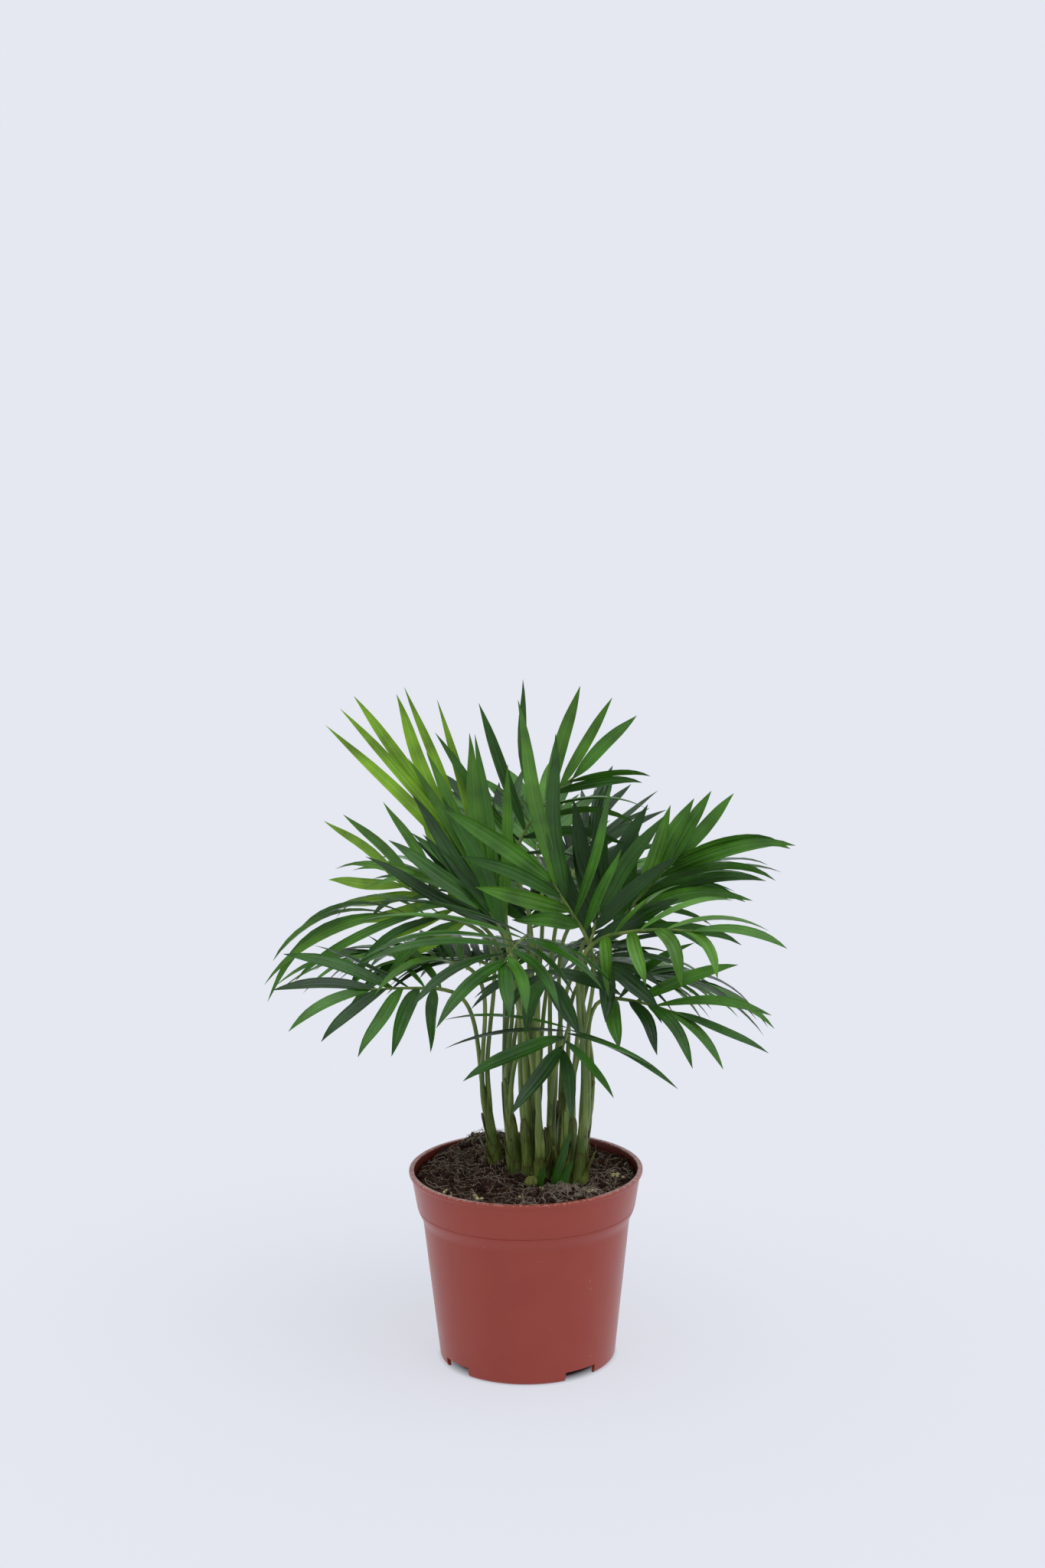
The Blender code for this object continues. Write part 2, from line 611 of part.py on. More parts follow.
def keep_largest_shell(mesh):
    """Fills hollows that joining has sealed and drops loose scraps, as only the largest shell stays."""
    build = bmesh.new()
    build.from_mesh(mesh)
    shells = []
    waiting = set(build.faces)
    while waiting:
        front = [waiting.pop()]
        shell = list(front)
        while front:
            beside = {other for edge in front.pop().edges for other in edge.link_faces} & waiting
            waiting -= beside
            front.extend(beside)
            shell.extend(beside)
        shells.append(shell)
    shells.sort(key=len, reverse=True)
    spare = [face for shell in shells[1:] for face in shell]
    bmesh.ops.delete(build, geom=spare, context="FACES")
    build.to_mesh(mesh)
    build.free()


def make_frond(frond, points, leaflets, parts, cutters):
    """Joins a stalk and its leaflets into one solid.

    The exact solver leaves faces that touch along an edge where leaflets cross at a fine angle, so the
    manifold one joins them.
    """
    radii = stalk_radii(len(points) - RACHIS_STEPS - 1, RACHIS_STEPS + 1)
    thing = add_object(frond.name, tube_mesh(frond.name, points, radii, 0), parts, frond.tone)
    for number, leaflet in enumerate(leaflets):
        name = f"{frond.name}_leaflet_{number + 1}"
        add_cutter(name, leaf_mesh(name, *leaflet), cutters)
    join = thing.modifiers.new("join", "BOOLEAN")
    join.operation = "UNION"
    join.operand_type = "COLLECTION"
    join.solver = "MANIFOLD"
    join.collection = cutters
    settle(thing)
    empty_out(cutters)
    keep_largest_shell(thing.data)
    return thing


def main():
    """Builds the palm: pot, compost, canes and fronds."""
    for thing in list(bpy.data.objects):
        bpy.data.objects.remove(thing)
    parts = bpy.data.collections.new("parlour palm")
    cutters = bpy.data.collections.new("cutters")
    for collection in (parts, cutters):
        bpy.context.scene.collection.children.link(collection)
    taken = Taken()
    make_pot(parts, cutters)
    make_soil(parts, cutters)
    make_stems(parts, taken)
    fronds = all_fronds()
    starts = stalk_starts(fronds)
    placed = []
    for frond in fronds:
        moved, points = place_stalk(frond, *starts[frond.name], taken)
        if moved:
            placed.append((moved, points))
            radii = stalk_radii(len(points) - RACHIS_STEPS - 1, RACHIS_STEPS + 1)
            mesh = tube_mesh("taken", points, radii, 0)
            taken.add(frond.name, mesh)
            bpy.data.meshes.remove(mesh)
    for frond, points in placed:
        leaflets = place_leaflets(frond, taken)
        thing = make_frond(frond, points, leaflets, parts, cutters)
        print(f"{frond.name}: {len(leaflets)} of {2 * frond.pairs} leaflets, faces:", len(thing.data.polygons))


if __name__ == "__main__":
    main()
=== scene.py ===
# %% [markdown]
# # A parlour palm in its nursery pot
# A young parlour palm is a clump of slender canes in one small pot. Each cane is wrapped in the bases of old
# leaves and carries one or two feather-shaped fronds.
# The solids are packed already. This lesson loads them as a fixed frame and dresses them: the growth rule is
# written again with finer outlines, so each new piece lies where its solid lies.

# %% Load the frame
import random
from math import cos, exp, hypot, pi, radians, sin, sqrt, tan
from typing import NamedTuple

import bmesh
import bpy
from mathutils import Matrix, Vector, kdtree, noise


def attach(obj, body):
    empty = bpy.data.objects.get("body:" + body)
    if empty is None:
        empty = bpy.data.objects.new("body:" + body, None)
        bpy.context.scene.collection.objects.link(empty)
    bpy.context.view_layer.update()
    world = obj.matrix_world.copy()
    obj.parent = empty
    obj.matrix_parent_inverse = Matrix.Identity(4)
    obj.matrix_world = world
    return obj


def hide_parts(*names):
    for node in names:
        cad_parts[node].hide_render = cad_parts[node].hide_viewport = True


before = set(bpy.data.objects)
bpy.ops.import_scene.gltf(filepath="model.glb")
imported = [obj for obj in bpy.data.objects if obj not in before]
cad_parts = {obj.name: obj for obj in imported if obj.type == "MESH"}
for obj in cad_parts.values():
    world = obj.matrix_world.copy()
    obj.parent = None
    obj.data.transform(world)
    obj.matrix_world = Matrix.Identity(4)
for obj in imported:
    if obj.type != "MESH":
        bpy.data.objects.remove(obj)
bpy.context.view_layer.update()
MM = 0.001

# %% [markdown]
# ## Camera
# A model can only agree with its picture when the camera does. The pot is a good gauge: its rim and foot are
# circles, and how flat they look gives the tilt, while their sizes give the distance.

# %% Camera
PHOTO_TALL = 2048                           # pixels
FOCAL_PIXELS = 3700.0
SENSOR = 36.0                               # mm, along the tall side
CAMERA_PLACE = (0.34, -1393.24, 564.9)      # mm
TILT_DOWN, ROLL = 10.75, -0.6               # degrees

scene = bpy.context.scene


def placed(name, data):
    """A new object in the scene, at the origin."""
    thing = bpy.data.objects.new(name, data)
    scene.collection.objects.link(thing)
    return thing


lens = bpy.data.cameras.new("camera")
lens.sensor_width = SENSOR
lens.lens = FOCAL_PIXELS / PHOTO_TALL * SENSOR
scene.camera = placed("camera", lens)
scene.camera.matrix_world = (
    Matrix.Translation(Vector(CAMERA_PLACE) * MM) @ Matrix.Rotation(radians(90 - TILT_DOWN), 4, "X")
    @ Matrix.Rotation(radians(ROLL), 4, "Z"))
print("lens, mm:", round(lens.lens, 2))

# %% [markdown]
# ## Small helpers for nodes
# Colours are written as hex values, as on a paint card, and one function turns them to the linear values that a
# shader needs. Shaders and Geometry Nodes are both trees of nodes, so one helper adds a node to either, with its
# settings and with a value, a colour or a link for each input.
# Two patterns come back in most materials: patches of noise, and coats of colour laid over each other.

# %% Colour and node helpers
FAMILIES = "ShaderNode", "GeometryNode", "FunctionNode"
DULL = 0.25                 # mirror strength of earth and dry fibre; 0.5 is the common value


def linear(code):
    """Linear colour, with alpha, of an sRGB hex value."""
    parts = [int(code[place:place + 2], 16) / 255 for place in (1, 3, 5)]
    return (*[part / 12.92 if part <= 0.04045 else ((part + 0.055) / 1.055) ** 2.4 for part in parts], 1.0)


def wire(tree, node, wires):
    """Give each named or numbered input an output, a node's first output in use, a hex colour or a value."""
    for name, value in wires.items() if isinstance(wires, dict) else enumerate(wires):
        if isinstance(value, bpy.types.Node):
            value = next(output for output in value.outputs if output.enabled)
        if isinstance(value, bpy.types.NodeSocket):
            tree.links.new(value, node.inputs[name])
        else:
            code = isinstance(value, str) and value.startswith("#")
            node.inputs[name].default_value = linear(value) if code else value


def add(tree, kind, wires=(), **settings):
    """A new node of a kind, which is written without its family. Settings are the node's properties."""
    family = next(family for family in FAMILIES if hasattr(bpy.types, family + kind))
    made = tree.nodes.new(family + kind)
    for name, value in settings.items():
        setattr(made, name, value)
    wire(tree, made, wires)
    return made


def new_material(name, code, roughness, ior, mirror=0.5):
    """A material of one colour and gloss, with its tree, its Principled shader and its object coordinates."""
    made = bpy.data.materials.new(name)
    made.use_nodes = True
    made.diffuse_color = linear(code)
    tree = made.node_tree
    shader = tree.nodes["Principled BSDF"]
    wire(tree, shader, {"Base Color": code, "Roughness": roughness, "IOR": ior, "Specular IOR Level": mirror})
    return made, tree, shader, add(tree, "TexCoord").outputs["Object"]


def patches(tree, coords, size, window, reach=(0, 1), tall=1, **inputs):
    """Noise in patches of this size, some times as tall as wide, and its window spread over the reach."""
    drawn = add(tree, "Mapping", {"Vector": coords, "Scale": (1, 1, 1 / tall)})
    cloud = add(tree, "TexNoise", {"Vector": drawn, "Scale": 1 / size, **inputs})
    return cloud, add(tree, "MapRange", (cloud, *window, *reach))


def coated(tree, colour, *coats):
    """The colour under its coats. Each coat is its share and its colour."""
    for share, over in coats:
        colour = add(tree, "Mix", {0: share, 6: colour, 7: over}, data_type="RGBA")
    return colour


print("terracotta red, linear:", [round(part, 3) for part in linear("#A04B3F")])

# %% [markdown]
# ## Floor and light
# The plant stands on a pale blue-white sweep in a bright tent that is open towards the camera. So what faces the
# camera is deeper in colour, and edges that turn away catch a pale sheen.
# The sweep is milky plastic, lit from below as well: most of its brightness is its own glow, which keeps shadows
# faint. The sun's strength is worked out so that the floor comes to the colour of the sky, and no horizon shows.

# %% Floor and light
SKY = "#E5E8F1"
FRONT_DIM = 0.6             # how much darker the tent is straight behind the camera
DIM_ASIDE = -0.15, -0.9     # y of a direction, where the darkness starts and is full
DIM_RISE = 0.08, 0.3        # z of a direction, likewise
GLOW = 0.7                  # share of the floor's brightness that comes through it
FLOOR_PAINT = 0.24          # share of light that the floor sends back
MASK = 38.0 * MM, 47.0 * MM     # the glow fades out under the pot's foot
FLOOR_HALF = 30.0           # metres
SUN_SPREAD = 50.0           # degrees across, for a very soft edge to shadows
SUN_FROM = Vector((0.45, -0.55, 1.6)).normalized()
RAYS = 60


def soft_step(low, high, value):
    """From 0 at low to 1 at high, with soft ends."""
    t = min(max((value - low) / (high - low), 0.0), 1.0)
    return t * t * (3 - 2 * t)


scene.view_settings.view_transform = "Standard"
world = bpy.data.worlds.new("tent")
world.use_nodes = True
scene.world = world
tree = world.node_tree
aim = add(tree, "SeparateXYZ", (add(tree, "TexCoord").outputs["Generated"],)).outputs
behind = add(tree, "MapRange", (aim["Y"], *DIM_ASIDE, 0.0, FRONT_DIM), interpolation_type="SMOOTHSTEP")
risen = add(tree, "MapRange", (aim["Z"], *DIM_RISE, 0.0, -1.0), interpolation_type="SMOOTHSTEP")
dimmed = add(tree, "Math", (behind, risen, 1.0), operation="MULTIPLY_ADD")
wire(tree, tree.nodes["Background"], {"Color": SKY, "Strength": dimmed})

corners = [(x * FLOOR_HALF, y * FLOOR_HALF, 0) for x, y in ((-1, -1), (1, -1), (1, 1), (-1, 1))]
floor_mesh = bpy.data.meshes.new("floor")
floor_mesh.from_pydata(corners, [], [(0, 1, 2, 3)])
floor_paint, tree, shader, coords = new_material("milky acrylic sweep", SKY, 0.9, 1.45, mirror=0.0)
away = add(tree, "VectorMath", (coords,), operation="LENGTH")
glow = add(tree, "MapRange", (away, *MASK, 0.0, GLOW))
wire(tree, shader, {"Base Color": (*[FLOOR_PAINT] * 3, 1.0), "Emission Color": SKY, "Emission Strength": glow})
floor_mesh.materials.append(floor_paint)
floor = placed("floor", floor_mesh)

share = 0.0     # of the tent's light on level ground, against what an even tent would give
for ring in range(RAYS):
    flat = sqrt((ring + 0.5) / RAYS)
    for step in range(RAYS):
        y = flat * sin(2 * pi * (step + 0.5) / RAYS)
        dim = soft_step(*DIM_ASIDE, y) * soft_step(*DIM_RISE, sqrt(1 - flat * flat))
        share += (1 - FRONT_DIM * dim) / RAYS ** 2
missing = [part * ((1 - GLOW) / FLOOR_PAINT - share) for part in linear(SKY)[:3]]
sun = bpy.data.lights.new("window", "SUN")
sun.angle = radians(SUN_SPREAD)
sun.energy = pi * max(missing) / SUN_FROM.z
sun.color = [part / max(missing) for part in missing]
placed("window", sun).rotation_euler = SUN_FROM.to_track_quat("Z", "Y").to_euler()
print("share of the tent:", round(share, 3), "sun strength:", round(sun.energy, 2))

# %% [markdown]
# ## Sizes of pot, compost and canes
# These are the sizes of the solids: a round 12 cm nursery pot, filled to just under its rim, and fourteen canes.
# Lengths are in millimetres and angles in degrees, and `MM` turns them to metres in a mesh.

# %% Sizes
POT_HEIGHT = 100.0
RIM_RADIUS = 60.0
LIP_HEIGHT = 1.8
COLLAR_TOP_RADIUS = 58.8
COLLAR_FOOT_RADIUS = 55.9
COLLAR_HEIGHT = 20.5
SHOULDER_HEIGHT = 5.0
BODY_TOP_RADIUS = 53.2
FOOT_RADIUS = 45.2
WALL = 1.3
FLOOR_RISE = 6.0
FLOOR_THICK = 1.4
BOSS_RADIUS = 10.0
NOTCH_COUNT = 4
NOTCH_FIRST = 36.5
NOTCH_WIDTH = 18.5
NOTCH_HEIGHT = 5.0

SOIL_TOP = 95.5
SOIL_MOUND = 7.5
MOUND_BEARING = 115.0
MOUND_REACH = 45.0
MOUND_SPREAD = 23.0
LUMP_HEIGHT = 0.72


class Stem(NamedTuple):
    """A cane in its sheaths, from the compost up to where its leaf stalks part."""
    name: str
    foot: tuple
    top: tuple
    radius: float


STEMS = [Stem(f"stem_{number:02}", *sizes) for number, sizes in enumerate((
    ((-15, 17), (-20, 16, 128), 3.6), ((-5, 8), (-9, 8, 130), 4.2), ((2, 1), (0, 0, 127), 3.7),
    ((8, -9), (7, -10, 126), 3.5), ((13.5, -2.5), (13, -3, 131), 3.4), ((19, -10), (20, -12, 119), 3.6),
    ((27, -10), (30, -11, 128), 3.9), ((4, 12), (3, 13, 134), 3.6), ((13, 8), (14, 9, 135), 3.7),
    ((22, 2), (24, 3, 130), 3.6), ((-6, 22), (-9, 25, 127), 3.5), ((6, 24), (6, 28, 131), 3.6),
    ((17, 20), (20, 24, 129), 3.5), ((28, 12), (33, 14, 126), 3.5)), start=1)]
print("canes:", len(STEMS))

# %% [markdown]
# ## How a frond grows
# A frond is a stalk that arches away from its cane and runs on as the rib of the blade. Leaflets leave the rib
# in pairs: at the hub they stand wide, and towards the tip they point along it. Each bends down by its weight.
# The shown fronds are set one by one after the plant, by a bearing, a climb and a handful of lengths. The ones
# behind follow a fan of bearings in three storeys.

# %% The fronds' sizes
class Frond(NamedTuple):
    """One leaf of the palm. Bearings run from +X (0) over the back, +Y (90), to the left, -X (180).

    A pair of values is for the hub and the tip of the rib, or for the leaflets left and right of it.
    """
    name: str
    tone: str
    stem: int
    hub: tuple
    heading: float
    rise: float
    rib: float
    sag: float
    pairs: int
    leaf: tuple
    width: float
    spread: tuple
    face: tuple
    cup: tuple = (5, 5)
    hang: tuple = (8, 8)
    share: tuple = (1, 1)
    turn: tuple = (0, 0)
    lean: float = 0


SHOWN = (       # name, tone, stem; hub, heading, rise, rib, sag; pairs, leaf, width, spread, face; then the rest
    Frond("frond_a", "lime", 2, (-16, 3, 243), 160, 56, 50, 0, 3, (104, 66), 7.2, (17, 6), (-84, 15),
          cup=(20, 20), share=(1.06, 0.96), lean=-3),
    Frond("frond_b", "lime", 10, (-24, 20, 225), 142, 16, 50, 4, 5, (50, 64), 7, (62, 10), (-90, 8),
          cup=(18, 22), hang=(10, 10), share=(0.75, 1)),
    Frond("frond_c", "mid", 7, (-4, 12, 262), 20, 68, 50, 38, 6, (72, 48), 7.5, (60, 12), (-98, 12),
          cup=(22, 22), hang=(5, 44), share=(1, 0.82), turn=(0, 60)),
    Frond("frond_d", "mid", 5, (30, -20, 229), 215, 56, 34, 0, 4, (50, 106), 9.5, (46, 16), (-90, 20),
          cup=(18, 14), share=(0.72, 1)),
    Frond("frond_e", "mid", 9, (45, 5, 222), 18, 52, 50, 14, 6, (56, 54), 9.5, (38, 10), (-90, 20),
          cup=(24, 24), hang=(8, 46), share=(0.8, 1.2), turn=(0, 40)),
    Frond("frond_f", "bright", 6, (40, -32, 229), -31, 20, 50, 20, 4, (46, 46), 8.5, (64, 16), (-80, 62),
          hang=(34, 78), share=(1, 0.75)),
    Frond("frond_g", "deep", 6, (44, -18, 194), -29, 3, 34, 16, 4, (42, 56), 8, (60, 8), (-90, 60),
          cup=(30, 5), hang=(24, 50), share=(1, 0.8)),
    Frond("frond_h", "deep", 4, (22, -30, 182), -97, 10, 28, 34, 4, (66, 54), 9, (84, 12), (-90, 48),
          hang=(16, 26), share=(0.9, 1)),
    Frond("frond_i", "deep", 3, (2, -28, 229), -106, 6, 42, 22, 6, (88, 64), 9.5, (84, 16), (-90, 65),
          cup=(4, 14), hang=(36, 32), share=(0.62, 0.96)),
    Frond("frond_j", "mid", 0, (-29, 12, 226), 166, 12, 46, 16, 5, (56, 80), 6, (50, 10), (-90, 65),
          hang=(58, 58), turn=(50, 40)),
    Frond("frond_k", "deep", 0, (-42, -8, 197), 203, 10, 38, 8, 5, (44, 54), 9, (78, 10), (-90, 60),
          cup=(0, 4), hang=(44, 16), share=(0.9, 1)),
    Frond("frond_l", "shade", 6, (36, -14, 220), 30, 72, 28, 0, 4, (54, 52), 10.5, (40, 8), (-100, 12),
          cup=(20, 20)),
    Frond("frond_m", "bright", 3, (-10, -4, 230), 160, 72, 20, 0, 3, (82, 74), 8, (16, 5), (-90, 12)),
    Frond("frond_n", "deep", 2, (-9, -20, 228), 160, 52, 14, 0, 2, (78, 60), 9.5, (20, 8), (-90, 30),
          hang=(10, 14), lean=6),
    Frond("frond_o", "shade", 1, (6, -14, 208), -80, 24, 20, 50, 3, (46, 38), 9, (84, 20), (-90, 60),
          hang=(34, 30)),
    Frond("frond_p", "shade", 8, (32, -6, 212), -60, 24, 20, 50, 3, (48, 38), 9, (84, 20), (-90, 60),
          hang=(34, 30)),
)
# Each storey behind: bearings, hub distance, hub height, rise, rib, pairs, leaflet length, hang
BEHIND = (
    ((8, 42, 76, 110, 142, 172), 38, 198, 6, 40, 5, 62, 46),
    ((24, 62, 98, 132), 34, 222, 28, 42, 5, 60, 34),
    ((50, 86, 122), 20, 244, 50, 38, 5, 50, 16),
)
BACK_TONES = "deep", "mid", "shade", "mid", "deep", "bright"
BACK_SAG, BACK_WIDTH = 14, 8.0
BACK_SPREAD, BACK_CUP = (64, 12), (12, 12)
BACK_FOOT = 0.92            # leaflets at the hub are shorter by this
CLUMP_CENTRE = (8, 6)
LOAD_COST = 14.0            # mm of detour that a frond takes for a cane with one frond less
STRAY_AWAY, STRAY_HIGH, STRAY_TURN, STRAY_CLIMB = (0.85, 1.1), 7, 12, 6       # of the fronds behind
print("fronds that face the front:", len(SHOWN))

# %% [markdown]
# ### The growth rule
# The rule gives paths only: the stalk's, the rib's, and each leaflet's middle line with the way that its upper
# side looks. How fine a mesh follows them is decided later, so the solids and this dressed plant share the rule.

# %% The growth rule
GAP = 0.3                   # air between a cane and its stalk's solid
STALK_APART = 1.75
RACHIS_STEPS = 5
PETIOLE_STEPS = 6
LEAVES, ARRIVES, FOLLOWS = 0.42, 0.3, 0.4       # a stalk's handles: their lengths, and how the first one bends
MOST_HANG = 80.0
LATE = 1.6                  # a leaflet bends mostly towards its tip
LEFT_LATER = 0.4            # how much further along the rib the left one of a pair stands
LONG_MIDDLE = 0.12          # leaflets in the middle are longer by this
WOBBLE, TWIST = 4, 18       # degrees
LENGTHS, HANGS, WIDTHS = (0.94, 1.05), (0.8, 1.15), (0.9, 1.08)     # from leaflet to leaflet


def unit(bearing, climb):
    """The direction with this bearing and climb."""
    flat = cos(radians(climb))
    return Vector((flat * cos(radians(bearing)), flat * sin(radians(bearing)), sin(radians(climb))))


def square_to(vector, axis):
    """What is left of the vector across the axis, at length one."""
    return (vector - vector.dot(axis) * axis).normalized()


def petiole_path(start, lift, hub, arrival, bend):
    """A stalk from the cane to the hub: it leaves along the cane and arrives along the rib."""
    reach = (hub - start).length
    aside = Vector((*bend, 0))
    leaving = start + lift * reach * LEAVES + aside * FOLLOWS
    handles = (start, leaving, hub - arrival * reach * ARRIVES + aside, hub)
    path = []
    for step in range(PETIOLE_STEPS):
        t = step / PETIOLE_STEPS
        weights = ((1 - t) ** 3, 3 * t * (1 - t) ** 2, 3 * t * t * (1 - t), t ** 3)
        path.append(sum((w * h for w, h in zip(weights, handles)), Vector()))
    return path


def rachis_path(frond):
    """Points along the rib with its direction at each, from the hub to the tip."""
    here = Vector(frond.hub)
    path = []
    for step in range(RACHIS_STEPS + 1):
        path.append((here.copy(), unit(frond.heading, frond.rise - frond.sag * step / RACHIS_STEPS)))
        onward = unit(frond.heading, frond.rise - frond.sag * (step + 0.5) / RACHIS_STEPS)
        here = here + onward * frond.rib / RACHIS_STEPS
    return path


def leaf_line(root, aim, hang, length, steps):
    """Points and directions along a leaflet that leaves along aim and bends down under its weight."""
    here = root.copy()
    pull = Vector((0, 0, -tan(radians(min(hang, MOST_HANG)))))
    line = [(here.copy(), aim.copy())]
    for step in range(steps):
        along = (aim + pull * ((step + 0.5) / steps) ** LATE).normalized()
        here = here + along * length / steps
        line.append((here.copy(), along))
    return line


def between(pair, t):
    """A value that runs from the hub's to the tip's."""
    return pair[0] + (pair[1] - pair[0]) * t


def leaf_plan(frond):
    """Root, aim, upper side, length, hang and width of each leaflet, from the hub to the tip."""
    chance = random.Random(frond.name)
    rib = rachis_path(frond)
    look = unit(*frond.face)
    plan = []
    for pair in range(frond.pairs):
        for side, way in enumerate((-1, 1)):
            t = min(1.0, (pair + (0.0 if side else LEFT_LATER)) / max(frond.pairs - 1 + LEFT_LATER, 1.0))
            place = t * RACHIS_STEPS
            low = min(int(place), RACHIS_STEPS - 1)
            root = rib[low][0].lerp(rib[low + 1][0], place - low)
            along = rib[low][1].lerp(rib[low + 1][1], place - low).normalized()
            normal = square_to(look, along)
            out = along.cross(normal) * way
            angle = radians(between(frond.spread, t) - frond.lean * way + chance.uniform(-WOBBLE, WOBBLE))
            cup = radians(frond.cup[side] + chance.uniform(-WOBBLE, WOBBLE))
            aim = (cos(angle) * along + sin(angle) * (cos(cup) * out + sin(cup) * normal)).normalized()
            length = between(frond.leaf, t) * (1 + LONG_MIDDLE * sin(pi * t)) * frond.share[side]
            length *= chance.uniform(*LENGTHS)
            hang = frond.hang[side] * chance.uniform(*HANGS)
            width = frond.width * chance.uniform(*WIDTHS)
            twist = radians(frond.turn[side] * way + chance.uniform(-TWIST, TWIST))
            face = Matrix.Rotation(twist, 3, aim) @ square_to(normal, aim)
            plan.append((root, aim, face, length, hang, width))
    return plan


def all_fronds():
    """The shown fronds and, storey by storey, the ones behind, each on a near cane with little to carry."""
    fronds = list(SHOWN)
    load = [sum(frond.stem == index for frond in fronds) for index in range(len(STEMS))]
    for storey, (bearings, away, height, rise, rib, pairs, leaf, hang) in enumerate(BEHIND):
        for number, bearing in enumerate(bearings):
            chance = random.Random(f"storey {storey} frond {number}")
            hub = Vector((*CLUMP_CENTRE, 0)) + unit(bearing, 0) * away * chance.uniform(*STRAY_AWAY)
            hub.z = height + chance.uniform(-STRAY_HIGH, STRAY_HIGH)
            costs = [(Vector(stem.top).xy - hub.xy).length + LOAD_COST * load[index]
                     for index, stem in enumerate(STEMS)]
            stem = costs.index(min(costs))
            load[stem] += 1
            heading = bearing + chance.uniform(-STRAY_TURN, STRAY_TURN)
            climb = rise + chance.uniform(-STRAY_CLIMB, STRAY_CLIMB)
            fronds.append(Frond(
                f"frond_back_{storey + 1}{number + 1}", BACK_TONES[len(fronds) % len(BACK_TONES)], stem,
                tuple(hub), heading, climb, rib, BACK_SAG, pairs, (leaf * BACK_FOOT, leaf), BACK_WIDTH,
                BACK_SPREAD, (heading, 90 - climb), cup=BACK_CUP, hang=(hang, hang)))
    return fronds


def stalk_starts(fronds):
    """Where each stalk leaves the top of its cane, and the cane's direction."""
    starts = {}
    for index, stem in enumerate(STEMS):
        carried = [frond for frond in fronds if frond.stem == index]
        top = Vector(stem.top)
        lift = (top - Vector((*stem.foot, SOIL_TOP))).normalized()
        for place, frond in enumerate(carried):
            away = square_to(Vector(carried[0].hub) - top, lift)
            away.rotate(Matrix.Rotation(2 * pi * place / len(carried), 3, lift))
            offset = away * STALK_APART if len(carried) > 1 else Vector()
            starts[frond.name] = (top + offset + lift * GAP, lift)
    return starts


fronds = all_fronds()
starts = stalk_starts(fronds)
print("fronds in all:", len(fronds))

# %% [markdown]
# ### Which way did each leaflet swing?
# Leaflets in a crowded crown push each other aside. When the solids were made, a stalk or leaflet that met a
# neighbour tried a short list of swings and took the first that was free.
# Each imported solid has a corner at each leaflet's tip, so the swing whose tip lies on a corner is the one taken.

# %% Read the swings from the solids
HUB_SHIFTS = ((0, 0, 0), (0, 0, 3), (0, 0, -3), (3, 0, 0), (-3, 0, 0), (0, 3, 0), (0, -3, 0), (3, 3, 4),
              (-3, -3, -4))
HANDLE_WAYS = ((1, 0), (-1, 0), (0, 1), (0, -1), (0.8, 0.8), (-0.8, -0.8))
HANDLE_REACHES = (5, 9)
LEAF_WAYS = ((1, 0), (-1, 0), (0, 1), (0, -1), (1, 1))
LEAF_REACHES = (5, 10, 16, 23)
LEAF_CUTS = (1.0, 0.8, 0.62)
SOLID_LEAF_STEPS = 4
STALK_BASE, STALK_HUB = 1.25, 1.0       # radius at the cane and at the hub
NEAR = 0.4                  # how close a tip lies to its corner


def tries(ways, reaches):
    """No change at first, then each reach in every way."""
    return [(0, 0)] + [(way[0] * reach, way[1] * reach) for reach in reaches for way in ways]


def corners_of(node):
    """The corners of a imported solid, to search by place."""
    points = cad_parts[node].data.vertices
    corners = kdtree.KDTree(len(points))
    for index, vertex in enumerate(points):
        corners.insert(vertex.co / MM, index)
    corners.balance()
    return corners


def placed_stalk(frond, corners):
    """The frond with its hub where the solid has it, and the points of its stalk."""
    start, lift = starts[frond.name]
    found = []
    for shift in HUB_SHIFTS:
        moved = frond._replace(hub=tuple(Vector(frond.hub) + Vector(shift)))
        for bend in tries(HANDLE_WAYS, HANDLE_REACHES):
            path = petiole_path(start, lift, Vector(moved.hub), unit(moved.heading, moved.rise), bend)
            misses = [abs(corners.find(point)[2] - between((STALK_BASE, STALK_HUB), step / len(path)))
                      for step, point in enumerate(path)]
            found.append((sum(misses), len(found), moved, path))
    return min(found)[2:]


def placed_leaflets(frond, corners):
    """The frond's leaflets as the solid has them. One that was left out has no corner at any tip."""
    leaflets = []
    for root, aim, face, length, hang, width in leaf_plan(frond):
        found = []
        for cut in LEAF_CUTS:
            for up, aside in tries(LEAF_WAYS, LEAF_REACHES):
                turn = Matrix.Rotation(radians(up), 3, aim.cross(face))
                turn = turn @ Matrix.Rotation(radians(aside), 3, face)
                leaflet = (root, turn @ aim, turn @ face, length * cut, hang, width)
                tip = leaf_line(root, turn @ aim, hang, length * cut, SOLID_LEAF_STEPS)[-1][0]
                found.append((corners.find(tip)[2], len(found), leaflet))
        miss, _, leaflet = min(found)
        if miss < NEAR:
            leaflets.append(leaflet)
    return leaflets


stalks, leaflets_of = {}, {}
for index, frond in enumerate(fronds):
    corners = corners_of(frond.name)
    fronds[index], stalks[frond.name] = placed_stalk(frond, corners)
    leaflets_of[frond.name] = placed_leaflets(fronds[index], corners)
print("leaflets:", sum(len(found) for found in leaflets_of.values()))

# %% [markdown]
# ### Finer leaflets between
# The solids carry fewer leaflets than the plant does. On the fronds behind and in the thick of the clump, a
# narrower leaflet grows between each two neighbours of one side, so the crown is as full as the real one.

# %% Leaflets between
FILLED = ("frond_n", "frond_o", "frond_p")
ONE_SIDE = 38            # degrees; neighbours that point nearly the same way are on one side of the rib
BETWEEN_LENGTH, BETWEEN_WIDTH = 0.84, 0.72


